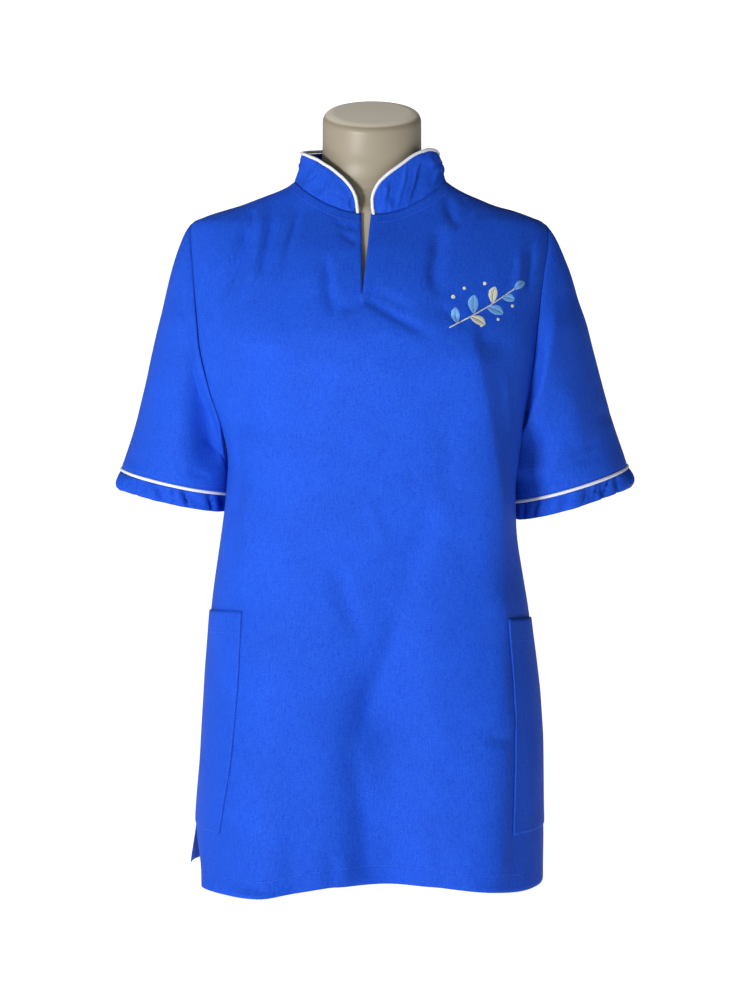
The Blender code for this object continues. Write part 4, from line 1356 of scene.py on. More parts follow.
class Surface:
    """Finds the outside of made cloth over points of the front or back view."""

    def __init__(self, objects: list) -> None:
        """Keeps the faces of the cloth for looking up.

        Args:
            objects: the pieces of cloth.
        """
        points, faces = [], []
        for obj in objects:
            base = len(points)
            points += [v.co.copy() for v in obj.data.vertices]
            faces += [tuple(base + i for i in p.vertices) for p in obj.data.polygons]
        self.tree = BVHTree.FromPolygons(points, faces)

    def over(self, path: np.ndarray, face: Face) -> tuple:
        """The cloth's outside over a line of the view.

        Args:
            path: X and height of the points, with the lift.
            face: which view they belong to.

        Returns:
            Points without the lift, and normals, for those that meet the cloth.
        """
        found, normals = [], []
        for x, z in path:
            hit, normal, _, _ = self.tree.ray_cast(Vector((x, face * 1.0, z)), Vector((0, -face, 0)))
            if hit is not None:
                found.append((hit.x, hit.y, hit.z - LIFT))
                normals.append(tuple(normal if normal.y * face > 0 else -normal))
        return np.array(found), np.array(normals)


@dataclass
class Body:
    """The two panels and the patch pockets."""

    cloth: bpy.types.Material
    pocket_cloth: bpy.types.Material
    sewing: Sewing
    pocket_foot: float = 0.065
    pocket_hem: float = 0.0235
    pocket_wall: float = 0.0011
    raised: float = 0.0013  # from the middle of the front's cloth to the middle of a pocket's
    edge_inset: float = 0.0022  # from a pocket's edge to its stitches

    def build(self) -> None:
        """Makes the panels, the pockets and their sewing."""
        creases = SHOULDER_CREASES + SLIT_CREASES + BUST_CREASES + SKIRT_CREASES
        self.front = Panel(Face.FRONT, creases)
        self.back = Panel(Face.BACK, BACK_CREASES, 30, 40, 100, 52)
        self.objects = {}
        for panel in (self.front, self.back):
            name = panel.face.word
            flat = panel.uv()
            made = add_cloth("tunic_" + name, panel.points, panel.quads, self.cloth, flat, panel.normals)
            self.objects[name] = made
        for side in Side:
            self.objects["pocket_" + side.word] = self.pocket(side)
        self.outside = Surface(list(self.objects.values()))
        self.sew()

    def pocket(self, side: Side) -> bpy.types.Object:
        """A patch pocket on the front, with a mouth that stands off a little.

        Args:
            side: which half.

        Returns:
            The pocket.
        """
        points, normals = self.front.block(side, self.pocket_foot, POCKET_MOUTH[side], POCKET_START[side])
        rows, columns = points.shape[:2]
        up = np.linspace(0, 1, rows)[:, None]
        over = np.linspace(0, 1, columns)[None, :]
        gape = 0.0022 * ease(up, 0.80, 1.0) * np.sin(math.pi * over) ** 0.8
        puff = 0.0006 * np.sin(math.pi * up) * np.sin(math.pi * over)
        grid = points + normals * (self.raised + gape + puff)[..., None]
        quads = grid_quads(rows, columns)
        flat = grid_uv(grid).reshape(-1, 2)
        name = "tunic_pocket_" + side.word
        return add_cloth(name, grid.reshape(-1, 3), quads, self.pocket_cloth, flat, wall=self.pocket_wall)

    def sew(self) -> None:
        """Rows of stitches at the hems, on the pockets and under the collar."""
        self.seams = {"front": [], "back": [], "pocket_left": [], "pocket_right": []}
        for panel in (self.front, self.back):
            face = panel.face
            x = np.linspace(-0.176, 0.174, 400)
            x = x[np.abs(x) < 0.171] if face == Face.BACK else x
            z = panel.hem_height(x) + HEM_DEEP + LIFT
            path, up = self.outside.over(np.stack([x, z], axis=1), face)
            self.seams[face.word].append(self.sewing.line("hem_stitches_" + face.word, path, up))
        for side in Side:
            self.sew_pocket(side)
        for face in Face:
            for side in Side:
                path, up = self.outside.over(self.neck_line(face, side), face)
                name = f"neck_stitches_{face.word}_{side.word}"
                self.seams[face.word].append(self.sewing.line(name, path, up))

    def sew_pocket(self, side: Side) -> None:
        """The pocket's hem and its two sewn edges that can be seen.

        Args:
            side: which half.
        """
        points, _ = self.front.block(side, self.pocket_foot, POCKET_MOUTH[side], POCKET_START[side])
        if side == Side.RIGHT:
            points = points[:, ::-1]
        edge = points[1:-1, 0, [0, 2]] + np.array([side * self.edge_inset, LIFT])
        foot = points[0, :, [0, 2]].T + np.array([0, self.edge_inset + LIFT])
        deep = self.pocket_hem / np.linalg.norm(points[-1, 0] - points[0, 0])
        top = (points[-1] * (1 - deep) + points[0] * deep)[:, [0, 2]] + np.array([0, LIFT])
        lines = {"edge": edge[::-1], "foot": foot[1:-3], "hem": top[1:-3]}
        name = "pocket_" + side.word
        for word, line in lines.items():
            line = line[np.abs(line[:, 0]) < 0.186]
            path, up = self.outside.over(resample(line, np.linspace(0, run_of(line)[-1], 120)), Face.FRONT)
            self.seams[name].append(self.sewing.line(f"{name}_{word}_stitches", path, up))

    def neck_line(self, face: Face, side: Side, below: float = 0.0098) -> np.ndarray:
        """The line of stitches under the neck seam, in the front or back view.

        Args:
            face: which view.
            side: which half.
            below: how far under the seam the line runs.

        Returns:
            X and height of the line's points, with the lift.
        """
        neck = Section.half_width(side, NECK_SIDE)
        turn = np.linspace(0.0, 1.25, 90)
        x = neck * np.sin(turn)
        low = NECK_FRONT if face == Face.FRONT else NECK_BACK
        power = 2 if face == Face.FRONT else 8
        z = low + (NECK_SIDE - low) * np.sin(turn) ** power
        line = np.stack([x, z], axis=1)
        ahead = unit(np.gradient(line, axis=0))
        line = line + below * np.stack([ahead[:, 1], -ahead[:, 0]], axis=1)
        line[:, 0] *= side
        if face == Face.FRONT:
            line = line[(line[:, 0] - COLLAR_ENDS[side] * 0.8) * side > 0.0008]
        line[:, 1] += LIFT
        return line


@dataclass
class Sleeve:
    """One short sleeve with its piping and its band."""

    side: Side
    cloth: bpy.types.Material
    band_cloth: bpy.types.Material
    piping: bpy.types.Material
    sewing: Sewing
    band: float = 0.0185
    pipe: float = 0.0018
    yaw: float = math.radians(-16)  # how far the opening's long axis turns forwards
    lead: float = math.radians(-5)  # how far its front turns towards the body
    lean: float = 0.08  # how much the sleeve's front stands forwards below the armhole
    offset: float = 0.0010  # how far the sleeve's edge stands off the armhole's
    rows: int = 66
    above: float = 0.0042  # from the sleeve's lower edge up to its stitches
    band_wall: float = 0.0014
    pinch: float = 0.0060  # how deep the sewing puckers the band
    swell: float = 0.0075  # how far the band swells between the puckers

    def columns(self, front: Panel, back: Panel, steps: int = 90) -> np.ndarray:
        """One curve from each point of the armhole to the sleeve's opening.

        Args:
            front: the front panel.
            back: the back panel.
            steps: points along each curve.

        Returns:
            Points by step and column, from the armhole to the opening.
        """
        centre, wide, deep, degrees, dip = SLEEVE_MOUTHS[self.side]
        side = int(self.side)
        up, up_normals = front.armhole(self.side)
        down, down_normals = (part[::-1] for part in back.armhole(self.side))
        ring = np.concatenate([up[:-1], [(up[-1] + down[0]) / 2], down[1:-1]])
        ring[0] = (up[0] + down[-1]) / 2
        normals = np.concatenate([up_normals[:-1], down_normals[:-1]])
        turn = []
        for part, start in ((np.concatenate([[ring[0]], up[1:]]), 0.0), (down, math.pi)):
            run = run_of(part)
            turn += list(start + math.pi * run[:-1] / run[-1])
        turn = np.array(turn)
        tilt = math.radians(degrees)
        level = math.cos(tilt)
        out = np.array([side * level * math.cos(self.yaw), -level * math.sin(self.yaw), math.sin(tilt)])
        ahead = np.array([-side * math.sin(self.lead), -math.cos(self.lead), -dip])
        ends = np.array(centre)[None, :] - out * (wide * np.cos(turn))[:, None]
        ends = ends + ahead * (deep * np.sin(turn))[:, None]
        top = ((1 - np.cos(turn)) / 2)[:, None]
        lean = np.sin(turn)[:, None]
        head = top**3
        ring = ring + normals * self.offset * (1 - ease(top, 0.55, 0.95))
        inner = 1 - ease(top, 0.0, 0.30)
        tip_way = 1.15 if self.side == Side.LEFT else 0.95
        start_way = np.array([side, 0.0, 0.0]) * (0.42 - 0.40 * inner + (tip_way - 0.42) * head)
        start_way = start_way + np.array([0, 0, -1.0]) * (0.88 - 0.33 * head)
        start_way = start_way + np.array([0, -1.0, 0]) * (self.lean * lean - 0.40 * inner)
        end_way = np.array([side, 0.0, 0.0]) * (-0.06 + 0.50 * top + 0.26 * inner) + np.array([0, 0, -0.95])
        far = np.linalg.norm(ends - ring, axis=1)[:, None]
        start_way = unit(start_way) * far * (0.62 - 0.32 * head)
        end_way = unit(end_way) * far
        t = np.linspace(0, 1, steps + 1)[:, None, None]
        path = ring * (1 + 2 * t) * (1 - t) ** 2 + start_way * t * (1 - t) ** 2
        return path + ends * t**2 * (3 - 2 * t) + end_way * t**2 * (t - 1)

    def rings(self, path: np.ndarray, start: float, end: float, count: int) -> np.ndarray:
        """Rings between a length after the armhole and a length before the opening.

        Args:
            path: curves from the armhole to the opening.
            start: length from the armhole to the first ring.
            end: length from the last ring to the opening.
            count: how many rings.

        Returns:
            Points by ring and column.
        """
        made = np.empty((count, path.shape[1], 3))
        for c in range(path.shape[1]):
            run = run_of(path[:, c])
            made[:, c] = resample(path[:, c], np.linspace(start, run[-1] - end, count))
        return made

    def closed(self, rings: np.ndarray) -> tuple:
        """Points, quads and flat places of rings that close on themselves.

        Args:
            rings: points by ring, from the armhole down, and by place in the ring.

        Returns:
            The points, their quads seen from outside, and their flat places.
        """
        if self.side == Side.RIGHT:
            rings = rings[:, ::-1]
        count, around = rings.shape[:2]
        quads = ring_quads(count, around)[:, ::-1]
        uv = grid_uv(rings[::-1])[::-1]
        return rings.reshape(-1, 3), quads, uv.reshape(-1, 2)

    def build(self, front: Panel, back: Panel) -> None:
        """Makes the sleeve, its piping, its band and the stitches above the piping.

        Args:
            front: the front panel.
            back: the back panel.
        """
        path = self.columns(front, back)
        over = self.band + 2 * self.pipe + 0.0004
        rings = self.rings(path, 0.0003, over, self.rows)
        points, quads, uv = self.closed(rings)
        normals = normals_of(points, quads)
        step = np.linalg.norm(np.diff(rings, axis=0), axis=2)
        down = np.concatenate([np.zeros((1, rings.shape[1])), np.cumsum(step, axis=0)])
        if self.side == Side.RIGHT:
            down = down[:, ::-1]
        near = ease(down, 0.002, 0.030) * ease(down[-1] - down, 0.0, 0.015)
        near = near.reshape(-1)
        facing = ease(-normals[:, 1], -0.1, 0.35)
        behind = ease(normals[:, 1], -0.1, 0.35)
        fine = sum(c.height(points[:, 0], points[:, 2]) for c in SLEEVE_CREASES[self.side])
        behind_x, behind_z = points[:, 0] * 0.97 + 0.004, points[:, 2] + 0.02
        rear = sum(c.height(behind_x, behind_z) for c in SLEEVE_CREASES[self.side])
        way = unit(normals * np.array([0.35, 1.0, 0.6]))
        move = (fine * facing + rear * 0.8 * behind) * near
        points = points + way * move[:, None] + normals * (drape(points) * 0.9 * near)[:, None]
        inside = ease(-normals[:, 0] * self.side, 0.2, 0.9) * near
        points[:, 0] -= self.side * inside * (0.0008 + 0.0034 * ease(points[:, 1], 0.004, 0.030))
        self.sleeve = add_cloth("tunic_sleeve_" + self.side.word, points, quads, self.cloth, uv)
        ring = self.rings(path, 0.0, self.band + self.pipe + 0.0002, 2)[-1]
        self.cord = add_cord("tunic_piping_" + self.side.word, ring, self.pipe, self.piping, closed=True)
        self.cuff = self.make_band(path)
        self.stitches = self.sew(self.rings(path, 0.0, over + self.above, 2)[-1])

    def sew(self, line: np.ndarray) -> bpy.types.Object:
        """The stitches round the sleeve, above its piping.

        Args:
            line: the ring of points that they follow.

        Returns:
            The stitches.
        """
        line = np.concatenate([line, line[:1]])
        out = line - line.mean(axis=0)
        out[:, 2] = 0
        tree = Surface([self.sleeve]).tree
        path, up = [], []
        for place, way in zip(line + np.array([0, 0, LIFT]), unit(out)):
            outward = Vector(way)
            hit, normal, _, _ = tree.find_nearest(Vector(place) + outward * 0.004)
            path.append((hit.x, hit.y, hit.z - LIFT))
            up.append(tuple(normal if normal.dot(outward) > 0 else -normal))
        return self.sewing.line("sleeve_stitches_" + self.side.word, np.array(path), np.array(up))

    def make_band(self, path: np.ndarray, rows: int = 12) -> bpy.types.Object:
        """The band, full between its seam and its fold and puckered by its sewing.

        Args:
            path: curves from the armhole to the opening.
            rows: how many rings it gets.

        Returns:
            The band.
        """
        rings = self.rings(path, 0.0, 0.0, 2)
        made = np.empty((rows, path.shape[1], 3))
        for c in range(path.shape[1]):
            run = run_of(path[:, c])
            made[:, c] = resample(path[:, c], run[-1] - np.linspace(self.band, 0, rows))
        out = rings[-1] - rings[-1].mean(axis=0)
        out = unit(out * np.array([1, 1, 0]))
        run = run_of(np.concatenate([made[0], made[0][:1]]))[:-1]
        share = np.linspace(0, 1, rows)
        full = 0.0014 * np.sin(math.pi * share) - 0.0012 * ease(share, 0.70, 1.0)
        for r in range(rows):
            slanted = run + 0.008 * share[r]
            wave = [noise.noise(Vector((a * 74, 3.7 * self.side, 0.25 * share[r]))) for a in slanted]
            broad = [noise.noise(Vector((a * 34, 9.1, 1.7 * self.side))) for a in slanted]
            pinch = -self.pinch * np.exp(-((np.array(wave) / 0.15) ** 2)) + self.swell * np.array(broad)
            held = math.sin(math.pi * min(1.0, share[r] * 0.76 + 0.12))
            made[r] += out * (full[r] + pinch * held)[:, None]
        points, quads, uv = self.closed(made)
        name = "tunic_band_" + self.side.word
        return add_cloth(name, points, quads, self.band_cloth, uv, wall=self.band_wall)


@dataclass
class Collar:
    """The standing collar with round ends, and the piping along its edge."""

    cloth: bpy.types.Material
    piping: bpy.types.Material
    over: float = -0.0004
    pipe: float = 0.0018
    wall: float = 0.0016
    pinch: float = 0.0026  # how deep the sewing puckers the collar
    ripple: float = 0.0028  # how far it ripples beside each pucker
    swell: float = 0.0042  # how far it swells between the puckers
    columns: int = 210
    rows: int = 18

    def seam(self) -> tuple:
        """Points of the neck seam from the slit's right end round to its left end.

        Returns:
            The points, how far along the seam each lies, and the seam's length.
        """
        parts = []
        for side, face in (
            (Side.RIGHT, Face.FRONT),
            (Side.RIGHT, Face.BACK),
            (Side.LEFT, Face.BACK),
            (Side.LEFT, Face.FRONT),
        ):
            neck = Section.half_width(side, NECK_SIDE)
            turn = np.linspace(0, math.pi / 2, 200)
            x = neck * np.sin(turn)
            if face == Face.FRONT:
                z = NECK_FRONT + (NECK_SIDE - NECK_FRONT) * np.sin(turn) ** 2
            else:
                z = NECK_BACK + (NECK_SIDE - NECK_BACK) * (turn / (math.pi / 2)) ** 4
            part = np.stack([x * side, Section.depth(x, z, face, side), z], axis=-1)
            if face == Face.FRONT:
                part = part[(part[:, 0] - COLLAR_ENDS[side]) * side > 0]
            if (side, face) in ((Side.RIGHT, Face.BACK), (Side.LEFT, Face.FRONT)):
                part = part[::-1]
            parts.append(part)
        line = np.concatenate([parts[0], parts[1][1:], parts[2][1:], parts[3][1:]])
        length = run_of(line)[-1]
        edge = 0.5 - 0.5 * np.cos(np.linspace(0, math.pi, self.columns))
        at = length * (0.5 * edge + 0.5 * np.linspace(0, 1, self.columns))
        return resample(line, at), at, length

    def point(self, base: np.ndarray, high: np.ndarray, part: float) -> np.ndarray:
        """Where the collar is at a part of its height over points of the seam.

        Args:
            base: points of the seam.
            high: the collar's height over each.
            part: share of that height.

        Returns:
            Points of the collar.
        """
        share = part * high / 0.036
        lean_x = 1 - np.where(base[:, 0] < 0, 0.105, 0.125) * share
        lean_y = np.where(base[:, 1] < 0, 1 - 0.08 * share, 1 + 0.01 * share)
        near = np.where((base[:, 1] < 0) & (base[:, 0] > 0), np.exp(-((base[:, 0] / 0.016) ** 2)), 0)
        bow = 0.0042 * near * np.sin(math.pi * np.clip(part * high / 0.042, 0, 1))
        up = self.over + part * high
        return np.stack([base[:, 0] * lean_x - bow, base[:, 1] * lean_y, base[:, 2] + up], axis=-1)

    def build(self) -> None:
        """Makes the collar, puckered by its sewing, and its piping."""
        base, at, length = self.seam()
        right = smooth(at, COLLAR["run"], COLLAR["right"])
        left = smooth(length - at, COLLAR["run"], COLLAR["left"])
        high = np.where(at < length / 2, right, left)
        keep = slice(1, len(base) - 1)
        grid = np.array([self.point(base[keep], high[keep], p) for p in np.linspace(0, 1, self.rows)])
        normals = normals_of(grid.reshape(-1, 3), grid_quads(*grid.shape[:2])).reshape(grid.shape)
        along, up = at[keep], np.linspace(0, 1, self.rows)
        wave = np.array([[noise.noise(Vector((a * 55 + u * 0.9, u * 1.6, 4.2))) for a in along] for u in up])
        broad = np.array([[noise.noise(Vector((a * 19, u * 1.1, 8.6))) for a in along] for u in up])
        along, up = along[None, :], up[:, None]
        edges = np.sin(math.pi * np.clip(up * 0.9 + 0.05, 0, 1))
        ends = ease(along, 0.0, 0.012) * (1 - ease(along, length - 0.012, length))
        pinch = -self.pinch * np.exp(-((wave / 0.10) ** 2)) + self.ripple * wave + self.swell * broad
        move = pinch * edges * ends + 0.0012 * np.sin(math.pi * up)
        grid = grid + normals * move[..., None]
        quads, flat = grid_quads(*grid.shape[:2]), grid_uv(grid).reshape(-1, 2)
        self.band = add_cloth("tunic_collar", grid.reshape(-1, 3), quads, self.cloth, flat, wall=self.wall)
        ridge = self.point(base, high, 1.0)
        ahead = unit(np.gradient(ridge, axis=0))
        out = ridge - ridge.mean(axis=0)
        out[:, 2] = 0
        rise = unit(np.cross(unit(out), ahead))
        rise *= np.sign(rise[len(rise) // 2, 2])
        ridge = ridge + rise * (self.pipe + 0.0003)
        self.cord = add_cord("tunic_collar_piping", ridge, self.pipe, self.piping)


@dataclass
class Sprig:
    """A small leaf sprig in satin stitch on the wearer's left of the chest."""

    pale: bpy.types.Material
    blue: bpy.types.Material
    centre: tuple = (0.116, 0.632)
    thread: float = 0.00050

    def strand(self, start: np.ndarray, end: np.ndarray, high: float = 0.00055) -> tuple:
        """One thread of satin stitch, arched between two points of the view."""
        at = np.linspace(0, 1, 5)[:, None]
        return start * (1 - at) + end * at, high * np.sin(math.pi * (0.08 + 0.84 * at[:, 0]))

    def leaf(self, root: tuple, degrees: float, long: float, wide: float) -> list:
        """The threads of one leaf: two rows that slant from its middle vein.

        Args:
            root: where the leaf begins, from the sprig's middle.
            degrees: which way it points.
            long: its length.
            wide: its greatest half width.

        Returns:
            Pairs of a thread's start and end.
        """
        turn = math.radians(degrees)
        ahead = np.array([math.cos(turn), math.sin(turn)])
        aside = np.array([-ahead[1], ahead[0]])
        pairs = []
        for share in np.arange(0.02, 0.98, self.thread * 0.9 / long):
            vein = np.array(root) + ahead * long * share + aside * 0.06 * long * math.sin(math.pi * share)
            half = wide * math.sin(math.pi * share**0.8) ** 0.8
            for sign in (-1, 1):
                tip = vein + aside * sign * half + ahead * half * 0.55
                pairs.append((vein + aside * sign * 0.00025, tip))
        return pairs

    def dot(self, place: tuple, radius: float) -> list:
        """The threads of one round dot.

        Args:
            place: the dot's middle, from the sprig's.
            radius: its radius.

        Returns:
            Pairs of a thread's start and end, from the sprig's middle.
        """
        rows = np.arange(-radius + self.thread / 2, radius, self.thread * 0.9)
        half = np.sqrt(np.maximum(radius**2 - rows**2, 0))
        return [
            (np.array([place[0] - h, place[1] + r]), np.array([place[0] + h, place[1] + r]))
            for r, h in zip(rows, half)
        ]

    def stem(self, knots: tuple, wide: float = 0.0011) -> list:
        """Short slanted threads along a stem.

        Args:
            knots: points that the stem goes through.
            wide: its width.

        Returns:
            Pairs of a thread's start and end, from the sprig's middle.
        """
        line = route(knots, 60)
        run = run_of(line)
        at = np.arange(0, run[-1], self.thread * 0.9)
        points = resample(line, at)
        ahead = unit(np.gradient(points, axis=0))
        aside = np.stack([-ahead[:, 1], ahead[:, 0]], axis=1)
        return [
            (p - a * wide / 2 - h * wide * 0.4, p + a * wide / 2 + h * wide * 0.4)
            for p, a, h in zip(points, aside, ahead)
        ]

    def build(self, outside: Surface) -> list:
        """Sews the sprig onto the front.

        Args:
            outside: finds the outside of the front.

        Returns:
            The two objects, pale threads and blue ones.
        """
        main = ((-0.034, -0.020), (-0.014, -0.010), (0.008, 0.002), (0.036, 0.020))
        pale = self.stem(main)
        leaves = (
            (-0.026, -0.016, 96, 0.017, 0.0046),
            (-0.012, -0.009, -28, 0.018, 0.0046),
            (-0.008, -0.006, 88, 0.020, 0.0054),
            (0.006, 0.001, -22, 0.019, 0.0050),
            (0.012, 0.005, 80, 0.018, 0.0048),
            (0.022, 0.012, -14, 0.015, 0.0042),
            (0.036, 0.020, 32, 0.014, 0.0040),
        )
        blue = []
        for i, (x, z, degrees, long, wide) in enumerate(leaves):
            (pale if i % 3 == 1 else blue).extend(self.leaf((x, z), degrees, long, wide))
        for x, z, radius in (
            (-0.030, 0.012, 0.0021),
            (-0.018, 0.021, 0.0017),
            (0.004, 0.026, 0.0019),
            (0.000, -0.018, 0.0019),
            (0.018, -0.012, 0.0016),
            (0.034, 0.002, 0.0017),
        ):
            pale += self.dot((x, z), radius)
        made = []
        for name, finish, pairs in (("sprig_pale", self.pale, pale), ("sprig_blue", self.blue, blue)):
            made.append(self.sew(name, finish, pairs, outside))
        return made

    def sew(self, name: str, finish: bpy.types.Material, pairs: list, outside: Surface) -> bpy.types.Object:
        """Lays threads on the cloth as narrow arched strips.

        Args:
            name: the new object's name.
            finish: the threads' material.
            pairs: each thread's start and end, from the sprig's middle.
            outside: finds the outside of the front.

        Returns:
            The threads.
        """
        points, faces = [], []
        for start, end in pairs:
            line, rise = self.strand(start, end)
            path, normals = outside.over(line + np.array(self.centre) + np.array([0, LIFT]), Face.FRONT)
            if len(path) < 5:
                continue
            ahead = unit(np.gradient(path, axis=0))
            across = unit(np.cross(ahead, normals)) * self.thread / 2
            base = len(points)
            for p, a, n, r in zip(path, across, normals, rise):
                points += [p - a + n * r * 0.45, p + n * (r + 0.00008), p + a + n * r * 0.45]
            for k in range(4):
                for j in (0, 1):
                    first = base + 3 * k + j
                    faces.append((first, first + 1, first + 4, first + 3))
        return add_mesh(name, np.array(points), faces, finish)


@dataclass
class DressForm:
    """The limbless form: a smooth shell under the tunic with a neck and a flat cap."""

    shell: bpy.types.Material
    around: int = 96

    def build(self) -> None:
        """Makes the shell from its level sections and the leaning rings of its neck."""
        turn = 2 * math.pi * np.arange(self.around) / self.around
        s, c = np.sin(turn), np.cos(turn)
        rings = []
        for z in np.linspace(0.030, 0.7489, 90):
            inside = {k: smooth(z, INSIDE["z"], INSIDE[k]) for k in ("side", "front", "back")}
            n = np.where(c > 0, Section.square(Face.BACK, z), Section.square(Face.FRONT, z))
            r = (np.abs(s) ** n + np.abs(c) ** n) ** (-1 / n)
            left, right = Section.half_width(Side.LEFT, z), Section.half_width(Side.RIGHT, z)
            wide = np.where(s > 0, left, right) - inside["side"]
            seam = Section.at("seam", z)
            behind = Section.at("back", z) - inside["back"] - seam
            before = Section.at("front", z) - inside["front"] + seam
            deep = np.where(c > 0, behind, before)
            x, y = wide * r * s, seam + deep * r * c
            chest = ease(z, 0.610, 0.660) * (1 - ease(z, 0.720, 0.7489)) * (c < 0)
            y = y - 0.0045 * chest * np.exp(-(((x - SLIT_X) / 0.024) ** 2))
            rings.append(np.stack([x, y, np.full(self.around, z)], axis=-1))
        rim = 0.8340 + 0.0096 * np.sin(np.linspace(0.1, math.pi / 2, 12))
        rows = np.concatenate([np.linspace(0.7560, 0.8340, 30), rim])
        for z in rows:
            row = {k: smooth(z, NECK["z"], NECK[k]) for k in ("y", "wide", "deep", "tilt")}
            y = row["y"] + row["deep"] * c
            rings.append(np.stack([row["wide"] * s, y, z + row["tilt"] * (y - row["y"])], axis=-1))
        last = rings[-1]
        middle = last.mean(axis=0)
        for share in (0.93, 0.80, 0.55, 0.25):
            rings.append(middle + (last - middle) * share + np.array([0, 0, 0.0007 * (1 - share)]))
        grid = np.array(rings)[:, ::-1]
        count = len(grid)
        faces = ring_quads(count, self.around).tolist()
        faces += [range(self.around)[::-1], range((count - 1) * self.around, count * self.around)]
        self.made = add_mesh("dress_form", grid.reshape(-1, 3), faces, self.shell)


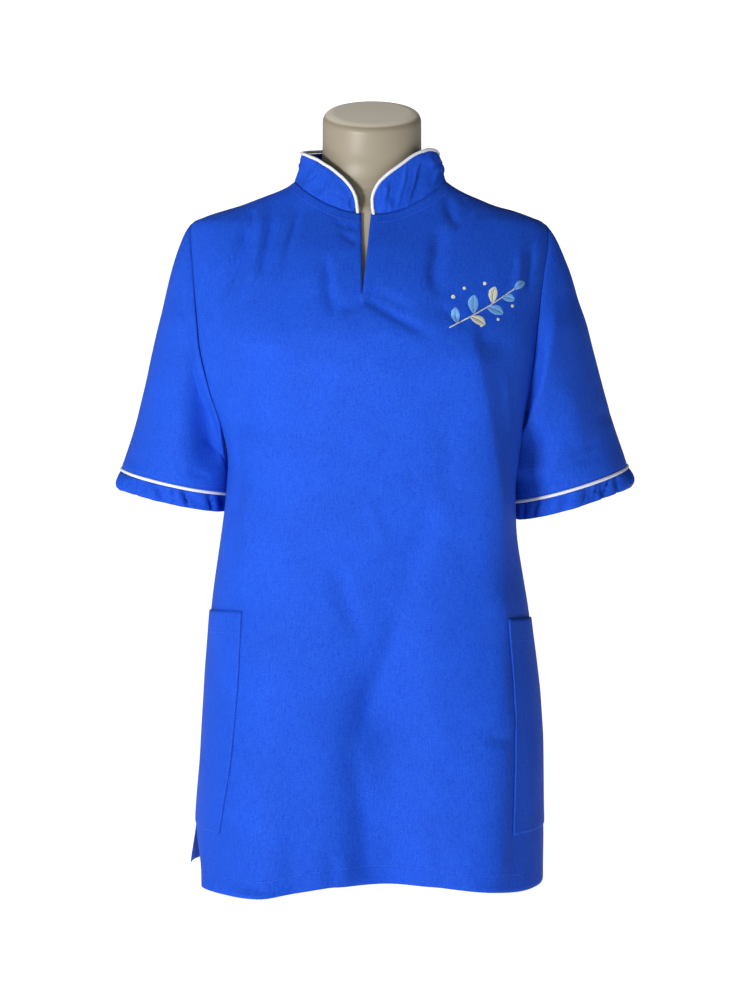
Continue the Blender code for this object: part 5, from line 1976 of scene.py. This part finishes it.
@dataclass
class Studio:
    """A pale floor, a surround that looks bright but lights dimly, and a soft lamp from the left."""

    eye: tuple = (0.0033, -3.0, 0.663)
    look_down: float = 4.58  # degrees
    sensor: float = 36.0  # width in millimetres
    lens: float = 98.17  # focal length in millimetres
    exposure: float = 0.5
    room: tuple = (0.07, 0.34)  # light that the surround gives at its dimmest and brightest
    bright_way: tuple = (-0.72, -0.30, -0.45)  # where it is brightest: low on the left
    backdrop: float = 0.85  # how bright it looks
    key_place: tuple = (-2.12, -3.43, 0.28)
    key_aim: tuple = (0.03, 0, 0.38)
    key_energy: float = 11.6
    key_size: float = 0.8
    key_spread: float = 50.0  # degrees: a narrow beam, which fades towards the collar
    floor_size: float = 60.0
    floor_glow: float = 0.64  # the floor is a lit white panel, so that it meets the backdrop

    def build(self) -> None:
        """Makes the camera, the surround, the lamp and the floor."""
        settings = bpy.context.scene.view_settings
        settings.view_transform = "Standard"
        settings.exposure = self.exposure
        self.camera()
        self.surround()
        self.lamp()
        self.floor()

    def camera(self) -> None:
        """Puts the camera where the photo seems to have been taken from."""
        camera = bpy.data.cameras.new("camera")
        camera.sensor_width = self.sensor
        camera.lens = self.lens
        holder = bpy.data.objects.new("camera", camera)
        holder.location = self.eye
        holder.rotation_euler = (math.radians(90 - self.look_down), 0, 0)
        bpy.context.scene.collection.objects.link(holder)
        bpy.context.scene.camera = holder

    def surround(self) -> None:
        """Lights the scene dimly from all round, most from the lower left."""
        world = bpy.data.worlds.new("surround")
        world.use_nodes = True
        sky = world.node_tree.nodes["Background"]
        seen = add_node(world.node_tree, "ShaderNodeLightPath")
        way = add_node(world.node_tree, "ShaderNodeTexCoord")
        inputs = {0: way.outputs["Generated"], 1: self.bright_way}
        side = add_node(world.node_tree, "ShaderNodeVectorMath", inputs, operation="DOT_PRODUCT")
        inputs = {0: side.outputs["Value"], 1: -0.9, 2: 0.9, 3: self.room[0], 4: self.room[1]}
        room = add_node(world.node_tree, "ShaderNodeMapRange", inputs)
        inputs = {0: seen.outputs["Is Camera Ray"], 3: room.outputs[0], 4: self.backdrop}
        glow = add_node(world.node_tree, "ShaderNodeMapRange", inputs)
        connect(sky, {0: (1.0, 1.0, 1.0, 1.0), 1: glow.outputs[0]})
        bpy.context.scene.world = world

    def lamp(self) -> None:
        """Makes the soft square lamp."""
        light = bpy.data.lights.new("key", "AREA")
        light.energy = self.key_energy
        light.size = self.key_size
        light.spread = math.radians(self.key_spread)
        made = bpy.data.objects.new("key", light)
        made.location = self.key_place
        beam = Vector(self.key_aim) - Vector(self.key_place)
        made.rotation_euler = beam.to_track_quat("-Z", "Y").to_euler()
        bpy.context.scene.collection.objects.link(made)

    def floor(self) -> None:
        """Makes the wide pale floor."""
        half = self.floor_size / 2
        corners = [(-half, -half, 0), (half, -half, 0), (half, half, 0), (-half, half, 0)]
        mesh = bpy.data.meshes.new("floor")
        mesh.from_pydata(corners, [], [(0, 1, 2, 3)])
        material, tree, shader = new_material("pale_floor")
        place = add_node(tree, "ShaderNodeTexCoord")
        mottle = add_node(tree, "ShaderNodeTexNoise", {"Vector": place.outputs["Object"], "Scale": 3.0})
        inputs = {0: mottle.outputs["Fac"], 6: srgb("E6E6E6"), 7: srgb("EAEAEA")}
        tint = add_node(tree, "ShaderNodeMix", inputs, data_type="RGBA")
        glow = {"Emission Color": (1.0, 1.0, 1.0, 1.0), "Emission Strength": self.floor_glow}
        connect(shader, {"Base Color": tint.outputs[2], "Roughness": 0.9} | glow)
        mesh.materials.append(material)
        made = bpy.data.objects.new("floor", mesh)
        bpy.context.scene.collection.objects.link(made)


def show(obj: bpy.types.Object, slot: str, *nodes: str) -> None:
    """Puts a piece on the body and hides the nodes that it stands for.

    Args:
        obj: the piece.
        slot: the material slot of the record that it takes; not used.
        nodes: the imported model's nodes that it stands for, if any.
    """
    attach(obj, "root")
    if nodes:
        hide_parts(*nodes)
    LOG.info("%s: %d faces", obj.name, len(obj.data.polygons))


def main() -> None:
    """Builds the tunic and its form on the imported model, then the studio round them."""
    logging.basicConfig(level=logging.INFO, format="%(name)s %(message)s")
    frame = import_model()
    cloth = PolyCotton(hem=HEM_DEEP).material()
    plain = PolyCotton(name="royal_blue_trim_cloth").material()
    white = BiasCloth().material()
    sewing = Sewing(Thread("blue_sewing_thread", "2B5AD2", 0.6).material())
    Studio().build()

    body = Body(cloth, plain, sewing)
    body.build()
    for name in ("front", "back", "pocket_left", "pocket_right"):
        show(body.objects[name], "tunic_cloth", name)
        for line in body.seams[name]:
            show(line, "tunic_cloth")
    pale = Thread("cream_thread", "C9CBB8").material()
    sprig = Sprig(pale, Thread("light_blue_thread", "6FA4DC").material())
    motifs = sprig.build(body.outside)
    for motif in motifs:
        show(motif, "tunic_cloth")
    collar = Collar(plain, white)
    collar.build()
    show(collar.band, "tunic_cloth", "collar")
    show(collar.cord, "piping", "collar_piping")
    for side in (Side.LEFT, Side.RIGHT):
        sleeve = Sleeve(side, plain, plain, white, sewing)
        sleeve.build(body.front, body.back)
        show(sleeve.sleeve, "tunic_cloth", "sleeve_" + sleeve.side.word)
        show(sleeve.cuff, "tunic_cloth", "band_" + sleeve.side.word)
        show(sleeve.cord, "piping", "piping_" + sleeve.side.word)
        show(sleeve.stitches, "tunic_cloth")
    form = DressForm(FormShell().material())
    form.build()
    show(form.made, "form_shell", "form")
    foot = frame["nodes"]["form_foot"]
    for place in foot.material_slots:
        place.material = FootPlastic().material()

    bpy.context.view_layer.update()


if __name__ == "__main__":
    main()
